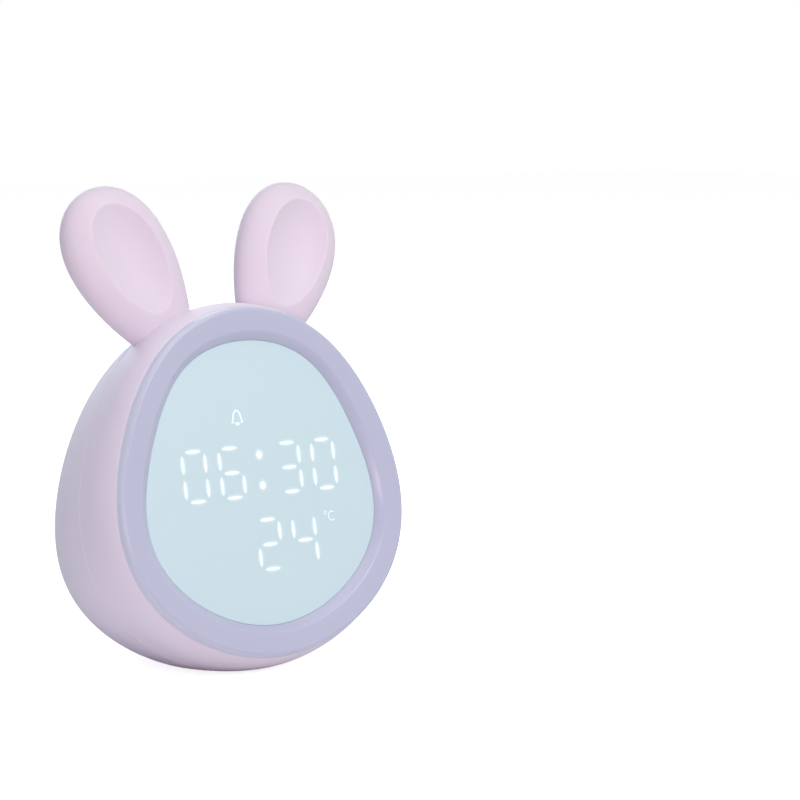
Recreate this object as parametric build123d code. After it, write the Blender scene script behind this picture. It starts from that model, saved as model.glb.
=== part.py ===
from build123d import *
import os
from math import atan2, cos, degrees, hypot, pi, radians, sin

# Children's alarm clock with a night-light ring: an egg-shaped moulded housing that leans back,
# with two soft ears clamped in its parting line.  Millimetres.
#
# Every function builds in the face frame: X to the right, Y up along the leaning face and Z out
# of the face towards the reader, with Z = 0 on the plane where the ring meets the housing.
# "depth" is measured from that plane into the clock, so it is -Z.  A node is moved to its
# upright place, standing on Z = 0, only when it is written.

# ---- housing -------------------------------------------------------------------------------
LEAN = 11.35            # degrees that the face leans back
FACE_HEIGHT = 53.2      # from the table to the middle of the face
FACE_WIDTH = 89.0       # outer edge of the ring
FACE_TALL = 93.0
FACE_MID = -1.7         # middle of that outline, below the face's own zero
FACE_EGG = (0.146, 0.030, 0.106)    # how the outline departs from an ellipse
SWELL = 0.058           # growth from the face to the belly, as a share of the outline
SWELL_POWER = 2.4
BELLY_DEPTH = 11.6      # where the housing is widest
DOME_LENGTH = 60.0      # from the belly to the tip that the dome would have
DOME_POWER = 1.9
SAG_SLOPE = 0.026       # the sections sink towards the back ...
SAG_CURVE = 0.00195     # ... along a parabola
BACK_DEPTH = 63.0       # the flat back panel
BACK_ROUND = 3.0
SEAM_DEPTH = 15.8       # parting line between main shell and rear cover
WALL = 2.2
FLAT_HEIGHT = 0.5       # flat underside of the housing, above the table

# ---- parting-line tongue, deck and bosses ----------------------------------------------------
FIT = 0.15              # gap between mouldings that seat in each other
TONGUE = 1.1
TONGUE_REACH = 2.2
DECK_DEPTH = 3.0        # front face of the deck that carries everything in the main shell
DECK_THICK = 2.0
HOUSING_SCREW_ANGLES = (52, 118)    # degrees round the outline, on both sides
HOUSING_BOSS_R = 3.0
HOUSING_BOSS_INSET = 6.7
HOUSING_BOSS_TOP = 19.0
WELL_R = 2.9            # bore that the driver reaches down
WELL_WALL = 1.2
WELL_FLOOR = 2.0
PLUG_DEPTH = 29.0       # inner ends of the plugs, below the wells' mouths
HOUSING_SCREW_LENGTH = 9.0
HOUSING_SCREW_R = 1.25
THREAD_GAP = 0.05
HOLE_GAP = 0.25         # round a screw where it only passes
HOUSING_HEAD_R = 2.4
HEAD_TALL = 1.4

# ---- night-light ring --------------------------------------------------------------------------
CREST_HEIGHT = 2.6      # top of the ring above its outer edge
CREST_INSET = 1.9
CREST_LAND = 0.5
DISH_POWER = 1.5        # the ring falls from its crest to the window, steeper as it goes
RING_BASE = 1.4         # thickness below the outer edge
SKIRT = 1.5
SKIRT_REACH = 2.7
PEG_R = 1.0
PEG_ANGLES = (20, 68, 135)
PEG_REACH = 3.0
LIP_WALL = 1.4

# ---- window and display ------------------------------------------------------------------------
WINDOW_WIDTH = 71.5
WINDOW_TALL = 75.9
WINDOW_MID = -1.95
WINDOW_EGG = (0.200, 0.052, 0.223)
WINDOW_DEPTH = 0.65     # front of the window below the ring's outer edge
WINDOW_THICK = 2.0
WINDOW_GAP = 0.12
TAPE_THICK = 0.25
LEDGE_WIDTH = 1.8
LEDGE_THICK = 1.0
REFLECTOR_GAP = 0.3
REFLECTOR_SHOULDER = 0.6
BOARD_DEPTH = 8.0       # front face of the display board
BOARD_THICK = 1.6
BOARD_EDGE = 0.8        # between the board and the housing's wall
BOARD_NOTCH = 1.0       # round the long bosses, and the ears' necks and collars

DIGIT_TALL = 13.1       # between the middles of the top and bottom segments
DIGIT_WIDE = 7.8
DIGIT_PITCH = 11.1
HOURS_MINUTES_X = 15.0  # middle of each pair from the colon
COLON_X = 0.5
TIME_ROW = 1.2          # middle of the time, above the face's zero
COLON_STEP = 4.1
DEGREES_ROW = -18.6
DEGREES_X = 6.4
BELL_PLACE = (-5.2, 15.7)
UNIT_PLACE = (21.2, -12.9)
CELL_LENGTH = 4.8
CELL_WIDTH = 1.8
ICON_CELL = 5.2
LED_LENGTH = 1.6
LED_WIDTH = 0.8
LED_TALL = 0.6

RING_BOARD_THICK = 0.8
RING_LED_COUNT = 16

BOARD_SCREW_ANGLES = (84, 150)
BOARD_BOSS_R = 2.2
BOARD_BOSS_INSET = 4.8
BOARD_SCREW_LENGTH = 9.0
SMALL_SCREW_R = 0.95
SMALL_HEAD_R = 1.8
SMALL_SCREW_LENGTH = 6.0
CLAMP_SCREW_LENGTH = 3.6
CHIP = (12.0, 12.0, 1.6)
CHIP_PLACE = (14.0, 26.0)
MEMORY_CHIP = (6.0, 5.0, 1.5)
MEMORY_CHIP_PLACE = (-10.0, 28.0)

# ---- battery -------------------------------------------------------------------------------------
CELL_PACK = (50.0, 34.0, 10.0)
CELL_PACK_ROUND = 3.0
CRADLE_WALL = 1.4
CRADLE_FLOOR = 1.5
CRADLE_RIM = 5.0
CRADLE_GAP = 0.25
CRADLE_STANDOFF = 2.2   # floor of the cradle above the board, clear of the chips
CRADLE_MID = -12.0
CRADLE_CLIP = 8.0
CRADLE_HOOK = 1.5
CRADLE_ARM = 5.0

# ---- back panel: keys, speaker, charging socket --------------------------------------------------
KEY_NAMES = ("set", "down", "up", "alarm")
KEY_PITCH = 8.2
KEY_ROW = -20.3
KEY_WIDE = 6.0
KEY_TALL = 4.6
KEY_ROUND = 2.2
KEY_PROUD = 1.2
KEY_SOFT_EDGE = 0.6
KEY_GAP = 0.3
KEY_TRAVEL = 0.5
FLANGE_EDGE = 0.7
FLANGE_THICK = 1.0
KEY_STEM_SIDE = 3.0
KEY_STEM = 0.8
PLUNGER_R = 1.5
PLUNGER_PROUD = 1.2
PLUNGER_SUNK = 1.5
PLUNGER_GAP = 0.15
SWITCH_SIDE = 6.0
SWITCH_TALL = 3.4
KEY_BOARD = (43.0, 11.0, 1.2)
KEY_POST_X = 18.8
KEY_POST_R = 2.2

SPEAKER_ROW = -2.5
SPEAKER_R = 11.5
SPEAKER_RIM = 1.4
SPEAKER_BACK_R = 9.0
SPEAKER_TALL = 4.6
SPEAKER_SHEET = 0.6
MAGNET_R = 8.0
MAGNET_TALL = 3.2
CONE_SHEET = 0.4
CONE_DROP = 2.2
CONE_CAP_R = 3.2
GASKET_THICK = 0.6
SPEAKER_FENCE = 1.2     # rib that the speaker drops into
CLAMP_THICK = 1.4
CLAMP_LUG_R = 3.0
CLAMP_POST_R = 2.2
CLAMP_POST_LAP = 0.4    # how far a post runs into the fence
GRILLE_HOLE_R = 0.9
GRILLE_PITCH = 4.0
GRILLE_RINGS = 2

SOCKET_WIDE = 9.0
SOCKET_TALL = 3.2
SOCKET_LONG = 7.4
SOCKET_SHEET = 0.3
SOCKET_TONGUE = 0.7
SOCKET_ROW = -28.6
SOCKET_GAP = 0.25
SOCKET_BACK = 0.8       # mouth of the socket behind the panel's outer face
CHARGE_BOARD = (20.0, 1.2, 14.0)
CHARGE_POST_X = 7.6
CHARGE_POST_R = 2.0
CHARGE_CHIP = (4.0, 1.2, 4.0)
SENSOR_R = 1.2
SENSOR_TALL = 2.2
SENSOR_LEG_R = 0.3
SENSOR_LEG = 7.0
SENSOR_LEG_STEP = 0.7
SENSOR_X = -8.0

# ---- ears ----------------------------------------------------------------------------------------
EAR_ANGLE = 22.44       # where the ear stands on the outline, as the outline's own angle
EAR_DEPTH = 13.48
EAR_SPLAY = 26.78       # degrees outwards from upright
EAR_BACK = 2.45         # degrees behind the face's own lean
EAR_LENGTH = 40.24      # from the housing to the tip
EAR_SUNK = 12.61        # the part of the egg that the housing would cover
EAR_HALF_WIDTH = 14.88
EAR_HALF_THICK = 7.11
EAR_EGG = 0.32
SCOOP_FROM_TIP = 21.73
SCOOP_WIDTH = 21.42
SCOOP_LENGTH = 38.14
SCOOP_EGG = 0.10
SCOOP_TOP = 8.8         # middle of the scoop above the ear's middle plane
SCOOP_DEPTH = 5.94
NECK_HALF_WIDTH = 6.0
NECK_HALF_THICK = 4.2
NECK_GAP = 0.1
COLLAR_EDGE = 2.2
COLLAR_THICK = 2.0
COLLAR_UNDER = 4.8      # from the housing's outer skin down to the collar

# ---- touch foil and foot -------------------------------------------------------------------------
FOIL_WIDE = 14.0
FOIL_LONG = 8.0
FOIL_THICK = 0.3
FOIL_GLUE = 0.05
FOIL_DEPTH = 9.2        # middle of the foil, from the ring's outer edge
FOOT_WIDE = 27.0
FOOT_LONG = 32.0
FOOT_SHIFT = 2.5        # towards the back, clear of the parting line
FOOT_SUNK = 0.8

OUTLINE_POINTS = 16
LOFT_STEP = 6.3         # between the sections of the housing
FAR = 200.0


# ---- outlines and sections -----------------------------------------------------------------------
def egg_point(width, tall, mid, egg, angle):
    """A point of an egg outline; angle is 0 at the top and grows towards +X, in degrees."""
    taper, waist, chin = egg
    u = radians(angle)
    c = cos(u)
    x = width / 2 * sin(u) * (1 - taper * c + waist * c**2 + chin * c**3)
    return x, mid + tall / 2 * c


def closed_face(point_at, depth):
    """The face inside a closed smooth curve; point_at gives its point at an angle in degrees."""
    points = [point_at(360 * i / OUTLINE_POINTS) for i in range(OUTLINE_POINTS)]
    curve = Edge.make_spline([Vector(x, y, -depth) for x, y in points], periodic=True)
    return Face(Wire([curve]))


def outline(width, tall, mid, egg, depth):
    """The face inside an egg outline, at a depth."""
    return closed_face(lambda angle: egg_point(width, tall, mid, egg, angle), depth)


def body_scale(depth, wall=0.0):
    """Width and height of the housing at a depth, wall millimetres inside its skin."""
    if depth <= BELLY_DEPTH:
        grow = 1 + SWELL * (1 - ((BELLY_DEPTH - depth) / BELLY_DEPTH) ** SWELL_POWER)
        return FACE_WIDTH * grow - 2 * wall, FACE_TALL * grow - 2 * wall
    along = (depth - BELLY_DEPTH) / (DOME_LENGTH - wall)
    dome = (1 - along**DOME_POWER) ** (1 / DOME_POWER)
    width = FACE_WIDTH * (1 + SWELL) - 2 * wall
    tall = FACE_TALL * (1 + SWELL) - 2 * wall
    return width * dome, tall * dome


def body_mid(depth):
    return FACE_MID - SAG_SLOPE * depth - SAG_CURVE * depth**2


def body_outline(depth, wall=0.0):
    width, tall = body_scale(depth, wall)
    return outline(width, tall, body_mid(depth), FACE_EGG, depth)


def body_point(depth, angle, wall=0.0):
    width, tall = body_scale(depth, wall)
    return egg_point(width, tall, body_mid(depth), FACE_EGG, angle)


def face_outline(inset, depth):
    return outline(FACE_WIDTH - 2 * inset, FACE_TALL - 2 * inset, FACE_MID, FACE_EGG, depth)


def window_outline(inset, depth):
    return outline(
        WINDOW_WIDTH - 2 * inset, WINDOW_TALL - 2 * inset, WINDOW_MID, WINDOW_EGG, depth
    )


def slab(face, front, back):
    """A face's outline as a plate between two depths."""
    lift = -front - face.center().Z
    return extrude(Pos(0, 0, lift) * face, amount=back - front, dir=(0, 0, -1))


def loft_body(wall, front, back):
    """The housing's form between two depths."""
    steps = max(2, round((back - front) / LOFT_STEP))
    depths = [front + (back - front) * i / steps for i in range(steps + 1)]
    return loft([body_outline(depth, wall) for depth in depths])


# ---- the upright frame ---------------------------------------------------------------------------
FACE = Plane(
    origin=(0, 0, FACE_HEIGHT),
    x_dir=(1, 0, 0),
    z_dir=(0, -cos(radians(LEAN)), sin(radians(LEAN))),
)


def below(height):
    """Everything below a height over the table, in the face frame."""
    return FACE.location.inverse() * Pos(0, 0, height - FAR / 2) * Box(FAR, FAR, FAR)


def rod(x, y, front, back, radius):
    """A round bar along the depth."""
    return Pos(x, y, -(front + back) / 2) * Cylinder(radius, back - front)


def block(x, y, front, size):
    """A box of (wide, tall, deep), its front face at a depth."""
    wide, tall, deep = size
    return Pos(x, y, -front - deep / 2) * Box(wide, tall, deep)


def both_sides(places):
    return [(side * x, y) for x, y in places for side in (-1, 1)]


def boss_places(angles, inset):
    return both_sides([body_point(DECK_DEPTH, angle, inset) for angle in angles])


HOUSING_BOSSES = boss_places(HOUSING_SCREW_ANGLES, HOUSING_BOSS_INSET)
BOARD_BOSSES = boss_places(BOARD_SCREW_ANGLES, BOARD_BOSS_INSET)
PEGS = both_sides(
    egg_point(
        FACE_WIDTH - 2 * (WALL + FIT) - SKIRT,
        FACE_TALL - 2 * (WALL + FIT) - SKIRT,
        FACE_MID,
        FACE_EGG,
        angle,
    )
    for angle in PEG_ANGLES
)
DECK_BACK = DECK_DEPTH + DECK_THICK
PANEL_INNER = BACK_DEPTH - WALL
LEDGE_DEPTH = WINDOW_DEPTH + WINDOW_THICK + TAPE_THICK
BOARD_BACK = BOARD_DEPTH + BOARD_THICK
WELL_BACK = HOUSING_BOSS_TOP + WELL_FLOOR
SWITCH_FRONT = PANEL_INNER - KEY_GAP - FLANGE_THICK - KEY_STEM - PLUNGER_PROUD
KEY_BOARD_BACK = SWITCH_FRONT - SWITCH_TALL
CLAMP_BACK = PANEL_INNER - GASKET_THICK - SPEAKER_SHEET
SOCKET_MOUTH = BACK_DEPTH - SOCKET_BACK
CHARGE_BOARD_TOP = SOCKET_ROW - SOCKET_TALL / 2
CHARGE_BOARD_BACK = PANEL_INNER - SOCKET_BACK
CHARGE_POST_DEPTH = CHARGE_BOARD_BACK - CHARGE_BOARD[2] / 2
CRADLE_FRONT = BOARD_BACK + CRADLE_STANDOFF
CRADLE_BACK = CRADLE_FRONT + CRADLE_FLOOR
CLAMP_POST_X = SPEAKER_R + SPEAKER_FENCE + CLAMP_POST_R - CLAMP_POST_LAP
SPEAKER_POSTS = both_sides([(CLAMP_POST_X, SPEAKER_ROW)])
KEY_POSTS = both_sides([(KEY_POST_X, KEY_ROW)])
KEY_PLACES = [(i - (len(KEY_NAMES) - 1) / 2) * KEY_PITCH for i in range(len(KEY_NAMES))]


# ---- fasteners -----------------------------------------------------------------------------------
def screw(x, y, seat, length, radius, head_r, side=-1):
    """A pan-head screw whose head lies on a depth; side is -1 where it points at the face."""
    head_end = seat - side * HEAD_TALL
    shank = rod(x, y, *sorted((seat, seat + side * length)), radius)
    head = rod(x, y, *sorted((seat, head_end)), head_r)
    return shank + head


def screws(places, *sizes, side=-1):
    return Compound(children=[screw(x, y, *sizes, side=side) for x, y in places])


def housing_screws():
    sizes = (WELL_BACK, HOUSING_SCREW_LENGTH, HOUSING_SCREW_R, HOUSING_HEAD_R)
    return screws(HOUSING_BOSSES, *sizes)


def board_screws():
    return screws(BOARD_BOSSES, CRADLE_BACK, BOARD_SCREW_LENGTH, SMALL_SCREW_R, SMALL_HEAD_R)


def clamp_screws():
    sizes = (CLAMP_BACK - CLAMP_THICK, CLAMP_SCREW_LENGTH, SMALL_SCREW_R, SMALL_HEAD_R)
    return screws(SPEAKER_POSTS, *sizes, side=1)


def key_board_screws():
    sizes = (KEY_BOARD_BACK - KEY_BOARD[2], SMALL_SCREW_LENGTH, SMALL_SCREW_R, SMALL_HEAD_R)
    return screws(KEY_POSTS, *sizes, side=1)


def screw_plugs(outer):
    """Soft plugs that close the screw wells, their tops flush with the housing."""
    bars = [rod(x, y, PLUG_DEPTH, BACK_DEPTH, WELL_R - FIT) for x, y in HOUSING_BOSSES]
    return Compound(children=[(bar & outer).solid() for bar in bars])


# ---- ears ----------------------------------------------------------------------------------------
def ear_frame(side):
    """Where an ear stands on the housing: Y runs along the ear and Z out of its front."""
    x, y = body_point(EAR_DEPTH, EAR_ANGLE)
    return Pos(side * x, y, -EAR_DEPTH) * Rot(0, 0, -side * EAR_SPLAY) * Rot(-EAR_BACK, 0, 0)


def along_ear(face, start, length):
    """A flat face set across an ear at a distance along it, and drawn out towards the tip."""
    return Pos(0, start, 0) * Rot(90, 0, 0) * extrude(face, amount=-length)


def ear_neck(side, gap):
    reach = COLLAR_UNDER + COLLAR_THICK
    face = Ellipse(NECK_HALF_WIDTH + gap, NECK_HALF_THICK + gap)
    return ear_frame(side) * along_ear(face, -reach, reach + EAR_SUNK / 2)


def ear_collar(side, gap):
    face = Ellipse(NECK_HALF_WIDTH + COLLAR_EDGE + gap, NECK_HALF_THICK + COLLAR_EDGE + gap)
    start = -COLLAR_UNDER - COLLAR_THICK - gap
    return ear_frame(side) * along_ear(face, start, COLLAR_THICK + 2 * gap)


def ear_notch(side):
    """Room for an ear's collar and neck, open towards the housing's wall."""
    edge = COLLAR_EDGE + BOARD_NOTCH
    reach = COLLAR_UNDER + COLLAR_THICK + BOARD_NOTCH
    face = Ellipse(NECK_HALF_WIDTH + edge, NECK_HALF_THICK + edge)
    return ear_frame(side) * along_ear(face, -reach, reach)


def egg_solid(length, half_width, half_thick, egg):
    """A flattened egg with its tip at the origin, along -Y and thickest towards the tip."""
    steps = 8
    turns = [pi * i / steps for i in range(steps + 1)]
    points = [
        (half_width * sin(u) * (1 + egg * cos(u)), -length * (1 - cos(u)) / 2) for u in turns
    ]
    profile = Spline(*points, tangents=[(1, 0), (-1, 0)]) + Line(points[-1], points[0])
    return scale(revolve(make_face(profile), Axis.Y), by=(1, 1, half_thick / half_width))


def ear(side, outer):
    whole = EAR_LENGTH + EAR_SUNK
    egg = Pos(0, EAR_LENGTH, 0) * egg_solid(whole, EAR_HALF_WIDTH, EAR_HALF_THICK, EAR_EGG)
    scoop_tip = EAR_LENGTH - SCOOP_FROM_TIP + SCOOP_LENGTH / 2
    scoop = egg_solid(SCOOP_LENGTH, SCOOP_WIDTH / 2, SCOOP_DEPTH, SCOOP_EGG)
    blade = ear_frame(side) * (egg - Pos(0, scoop_tip, SCOOP_TOP) * scoop)
    return (blade - outer) + ear_neck(side, 0) + ear_collar(side, 0)


# ---- housing -------------------------------------------------------------------------------------
def outer_body():
    body = loft_body(0, 0, BACK_DEPTH)
    back_edge = body.edges().sort_by(Axis.Z)[0]
    return fillet(back_edge, BACK_ROUND) - below(FLAT_HEIGHT)


def inner_body():
    return loft_body(WALL, 0, PANEL_INNER) - below(FLAT_HEIGHT + WALL)


def depth_range(front, back):
    return Pos(0, 0, -(front + back) / 2) * Box(FAR, FAR, back - front)


def main_shell(outer, inner):
    deck = slab(body_outline(DECK_DEPTH, WALL / 2), DECK_DEPTH, DECK_BACK)
    deck -= slab(window_outline(-LIP_WALL - FIT, 0), DECK_DEPTH, DECK_BACK)
    shell = (outer - inner) & depth_range(0, SEAM_DEPTH)
    shell += (deck & outer) - below(FLAT_HEIGHT + WALL)
    shell += [rod(x, y, DECK_BACK, BOARD_DEPTH, BOARD_BOSS_R) for x, y in BOARD_BOSSES]
    shell += [rod(x, y, DECK_BACK, HOUSING_BOSS_TOP, HOUSING_BOSS_R) for x, y in HOUSING_BOSSES]
    pilot = HOUSING_SCREW_R + THREAD_GAP
    small_pilot = SMALL_SCREW_R + THREAD_GAP
    cuts = [rod(x, y, DECK_DEPTH, BOARD_DEPTH, small_pilot) for x, y in BOARD_BOSSES]
    cuts += [rod(x, y, DECK_BACK, HOUSING_BOSS_TOP, pilot) for x, y in HOUSING_BOSSES]
    cuts += [rod(x, y, DECK_DEPTH, DECK_BACK, PEG_R + FIT) for x, y in PEGS]
    cuts += [ear_neck(side, NECK_GAP) for side in (-1, 1)]
    return shell - cuts


def grille_places():
    """A middle hole and rings of six, twelve and so on about it."""
    places = [(0.0, SPEAKER_ROW)]
    for ring in range(1, GRILLE_RINGS + 1):
        for i in range(6 * ring):
            angle = 2 * pi * i / (6 * ring)
            reach = ring * GRILLE_PITCH
            places.append((reach * sin(angle), SPEAKER_ROW + reach * cos(angle)))
    return places


def key_face(edge):
    """The rounded outline of a key, its middle at the origin, an edge wider all round."""
    return RectangleRounded(KEY_WIDE + 2 * edge, KEY_TALL + 2 * edge, KEY_ROUND + min(edge, 0))


def socket_face(grow):
    return Pos(0, SOCKET_ROW) * SlotOverall(SOCKET_WIDE + 2 * grow, SOCKET_TALL + 2 * grow)


def charge_posts():
    """Posts under the charging board, long enough to reach the housing's floor."""
    top = CHARGE_BOARD_TOP - CHARGE_BOARD[1]
    bar = Rot(90, 0, 0) * Cylinder(CHARGE_POST_R, FACE_TALL)
    return [
        Pos(side * CHARGE_POST_X, top - FACE_TALL / 2, -CHARGE_POST_DEPTH) * bar
        for side in (-1, 1)
    ]


def tongue_ring(wall, front, back):
    """The band inside the housing's wall, between two depths."""
    return loft_body(wall, front, back) - loft_body(WALL + FIT + TONGUE, front, back)


def rear_cover(outer, inner):
    tongue = tongue_ring(WALL + FIT, SEAM_DEPTH - TONGUE_REACH, SEAM_DEPTH)
    root = tongue_ring(WALL / 2, SEAM_DEPTH, SEAM_DEPTH + TONGUE_REACH)
    cover = (outer - inner) & depth_range(SEAM_DEPTH, BACK_DEPTH)
    cover += [tongue - below(FLAT_HEIGHT + WALL + FIT), root & outer]
    fence = rod(0, SPEAKER_ROW, CLAMP_BACK, PANEL_INNER, SPEAKER_R + SPEAKER_FENCE)
    fence -= rod(0, SPEAKER_ROW, CLAMP_BACK, PANEL_INNER, SPEAKER_R + FIT)
    posts = [rod(x, y, HOUSING_BOSS_TOP, BACK_DEPTH, WELL_R + WELL_WALL) for x, y in HOUSING_BOSSES]
    posts += [rod(x, y, CLAMP_BACK, PANEL_INNER, CLAMP_POST_R) for x, y in SPEAKER_POSTS]
    posts += [rod(x, y, KEY_BOARD_BACK, PANEL_INNER, KEY_POST_R) for x, y in KEY_POSTS]
    posts += charge_posts()
    posts.append(fence)
    cover += [post & outer for post in posts]
    pilot = SMALL_SCREW_R + THREAD_GAP
    passing = HOUSING_SCREW_R + HOLE_GAP
    cuts = [rod(x, y, WELL_BACK, BACK_DEPTH, WELL_R) for x, y in HOUSING_BOSSES]
    cuts += [rod(x, y, HOUSING_BOSS_TOP, WELL_BACK, passing) for x, y in HOUSING_BOSSES]
    clamp_tip = CLAMP_BACK + CLAMP_SCREW_LENGTH - CLAMP_THICK + FIT
    cuts += [rod(x, y, CLAMP_BACK, clamp_tip, pilot) for x, y in SPEAKER_POSTS]
    cuts += [rod(x, y, KEY_BOARD_BACK, PANEL_INNER, pilot) for x, y in KEY_POSTS]
    cuts += [rod(x, y, PANEL_INNER, BACK_DEPTH, GRILLE_HOLE_R) for x, y in grille_places()]
    key_hole = Pos(0, 0, -BACK_DEPTH) * extrude(key_face(KEY_GAP), amount=WALL)
    cuts += [Pos(x, KEY_ROW, 0) * key_hole for x in KEY_PLACES]
    cuts.append(Pos(0, 0, -BACK_DEPTH) * extrude(socket_face(SOCKET_GAP), amount=WALL))
    cuts += [ear_neck(side, NECK_GAP) for side in (-1, 1)]
    cuts.append(foot_plate(outer, FIT, 0))
    return cover - cuts


def foot_plate(outer, grow, bottom):
    """The oval foot, let into the flat underside."""
    flat = (FACE.location * outer).faces().sort_by(Axis.Z)[0]
    middle = flat.center().Y + FOOT_SHIFT
    oval = Ellipse(FOOT_WIDE / 2 + grow, FOOT_LONG / 2 + grow)
    plate = extrude(oval, amount=FLAT_HEIGHT + FOOT_SUNK - bottom)
    return FACE.location.inverse() * Pos(0, middle, bottom) * plate


# ---- night-light ring and window -----------------------------------------------------------------
def dish_face(share):
    """The ring's inner slope: the crest at share 0, the window's edge at share 1."""

    def point_at(angle):
        inset = CREST_INSET + CREST_LAND
        crest = egg_point(
            FACE_WIDTH - 2 * inset, FACE_TALL - 2 * inset, FACE_MID, FACE_EGG, angle
        )
        edge = egg_point(WINDOW_WIDTH, WINDOW_TALL, WINDOW_MID, WINDOW_EGG, angle)
        return [a + (b - a) * share for a, b in zip(crest, edge)]

    drop = (CREST_HEIGHT + WINDOW_DEPTH) * share**DISH_POWER
    return closed_face(point_at, drop - CREST_HEIGHT)


def night_light_ring():
    turns = [pi / 2 * i / 4 for i in range(5)]
    ring = loft(
        [face_outline(CREST_INSET * (1 - cos(a)), -CREST_HEIGHT * sin(a)) for a in turns]
    )
    seat = WALL + FIT
    ring += slab(face_outline(seat, 0), 0, RING_BASE)
    skirt = slab(face_outline(seat, 0), RING_BASE, SKIRT_REACH)
    ring += skirt - slab(face_outline(seat + SKIRT, 0), RING_BASE, SKIRT_REACH)
    ring += slab(window_outline(-LIP_WALL, 0), RING_BASE, LEDGE_DEPTH + LEDGE_THICK)
    ring += [rod(x, y, RING_BASE, SKIRT_REACH + PEG_REACH, PEG_R) for x, y in PEGS]
    ring -= loft([dish_face(1 - i / 5) for i in range(6)])
    ring -= slab(dish_face(0), -CREST_HEIGHT - 1, -CREST_HEIGHT)
    ring -= slab(window_outline(0, 0), WINDOW_DEPTH, LEDGE_DEPTH)
    return ring - slab(window_outline(LEDGE_WIDTH, 0), WINDOW_DEPTH, LEDGE_DEPTH + LEDGE_THICK)


def display_window():
    back = WINDOW_DEPTH + WINDOW_THICK
    return slab(window_outline(WINDOW_GAP, 0), WINDOW_DEPTH, back)


def window_tape():
    tape = slab(window_outline(WINDOW_GAP, 0), LEDGE_DEPTH - TAPE_THICK, LEDGE_DEPTH)
    return tape - slab(window_outline(LEDGE_WIDTH, 0), LEDGE_DEPTH - TAPE_THICK, LEDGE_DEPTH)


def ring_led_board():
    front = DECK_DEPTH - RING_BOARD_THICK
    board = slab(face_outline(WALL + FIT + SKIRT + FIT, 0), front, DECK_DEPTH)
    board -= slab(window_outline(-LIP_WALL - FIT, 0), front, DECK_DEPTH)
    return board - [rod(x, y, front, DECK_DEPTH, PEG_R + FIT) for x, y in PEGS]


def led(x, y, back):
    return block(x, y, back - LED_TALL, (LED_LENGTH, LED_WIDTH, LED_TALL))


def ring_leds():
    """Lamps along the middle of the ring board."""
    leds = []
    for i in range(RING_LED_COUNT):
        angle = 360 * (i + 0.5) / RING_LED_COUNT
        inset = WALL + FIT + SKIRT
        far = egg_point(
            FACE_WIDTH - 2 * inset, FACE_TALL - 2 * inset, FACE_MID, FACE_EGG, angle
        )
        grown = 2 * LIP_WALL
        near = egg_point(
            WINDOW_WIDTH + grown, WINDOW_TALL + grown, WINDOW_MID, WINDOW_EGG, angle
        )
        x, y = [(a + b) / 2 for a, b in zip(far, near)]
        leds.append(led(x, y, DECK_DEPTH - RING_BOARD_THICK))
    return Compound(children=leds)


# ---- display -------------------------------------------------------------------------------------
def digit_middles():
    pairs = [(COLON_X - HOURS_MINUTES_X, TIME_ROW), (COLON_X + HOURS_MINUTES_X, TIME_ROW)]
    pairs.append((DEGREES_X, DEGREES_ROW))
    return [(x + side * DIGIT_PITCH / 2, y) for x, y in pairs for side in (-1, 1)]


def segments():
    """(x, y, turn) of every segment of every digit; turn is 90 where it stands upright."""
    places = []
    for x, y in digit_middles():
        places += [(x, y + step * DIGIT_TALL / 2, 0) for step in (-1, 0, 1)]
        places += [
            (x + side * DIGIT_WIDE / 2, y + step * DIGIT_TALL / 4, 90)
            for side in (-1, 1)
            for step in (-1, 1)
        ]
    return places


def colon_places():
    return [(COLON_X, TIME_ROW + side * COLON_STEP) for side in (-1, 1)]


def segment_reflector():
    front = WINDOW_DEPTH + WINDOW_THICK + REFLECTOR_GAP
    shoulder = LEDGE_DEPTH + LEDGE_THICK + FIT
    block_face = window_outline(LEDGE_WIDTH + FIT, 0)
    reflector = slab(block_face, front, shoulder)
    reflector += slab(window_outline(REFLECTOR_SHOULDER, 0), shoulder, BOARD_DEPTH)
    half, edge = CELL_LENGTH / 2, CELL_WIDTH / 2
    cell_points = [(half, 0), (half - edge, edge), (edge - half, edge)]
    cell_points += [(-half, 0), (edge - half, -edge), (half - edge, -edge)]
    cell_face = make_face(Polyline(*cell_points, close=True))
    tall = BOARD_DEPTH - front
    cell = Pos(0, 0, -BOARD_DEPTH) * extrude(cell_face, amount=tall)
    cuts = [Pos(x, y, 0) * Rot(0, 0, turn) * cell for x, y, turn in segments()]
    cuts += [rod(x, y, front, BOARD_DEPTH, CELL_WIDTH / 2) for x, y in colon_places()]
    icons = (BELL_PLACE, UNIT_PLACE)
    cuts += [block(x, y, front, (ICON_CELL, ICON_CELL, tall)) for x, y in icons]
    return reflector - cuts


def display_leds():
    places = [(x, y) for x, y, _ in segments()] + colon_places() + [BELL_PLACE, UNIT_PLACE]
    upright = [Pos(x, y, -BOARD_DEPTH) * Rot(0, 0, turn) for x, y, turn in segments()]
    lamp = Pos(0, 0, LED_TALL / 2) * Box(LED_LENGTH, LED_WIDTH, LED_TALL)
    plain = [Pos(x, y, -BOARD_DEPTH) for x, y in places[len(upright):]]
    return Compound(children=[place * lamp for place in upright + plain])


def display_board():
    board = slab(body_outline(BOARD_DEPTH, WALL + BOARD_EDGE), BOARD_DEPTH, BOARD_BACK)
    hole = SMALL_SCREW_R + HOLE_GAP
    notch = HOUSING_BOSS_R + BOARD_NOTCH
    cuts = [rod(x, y, BOARD_DEPTH, BOARD_BACK, hole) for x, y in BOARD_BOSSES]
    cuts += [rod(x, y, BOARD_DEPTH, BOARD_BACK, notch) for x, y in HOUSING_BOSSES]
    cuts += [ear_notch(side) for side in (-1, 1)]
    return board - cuts


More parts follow.
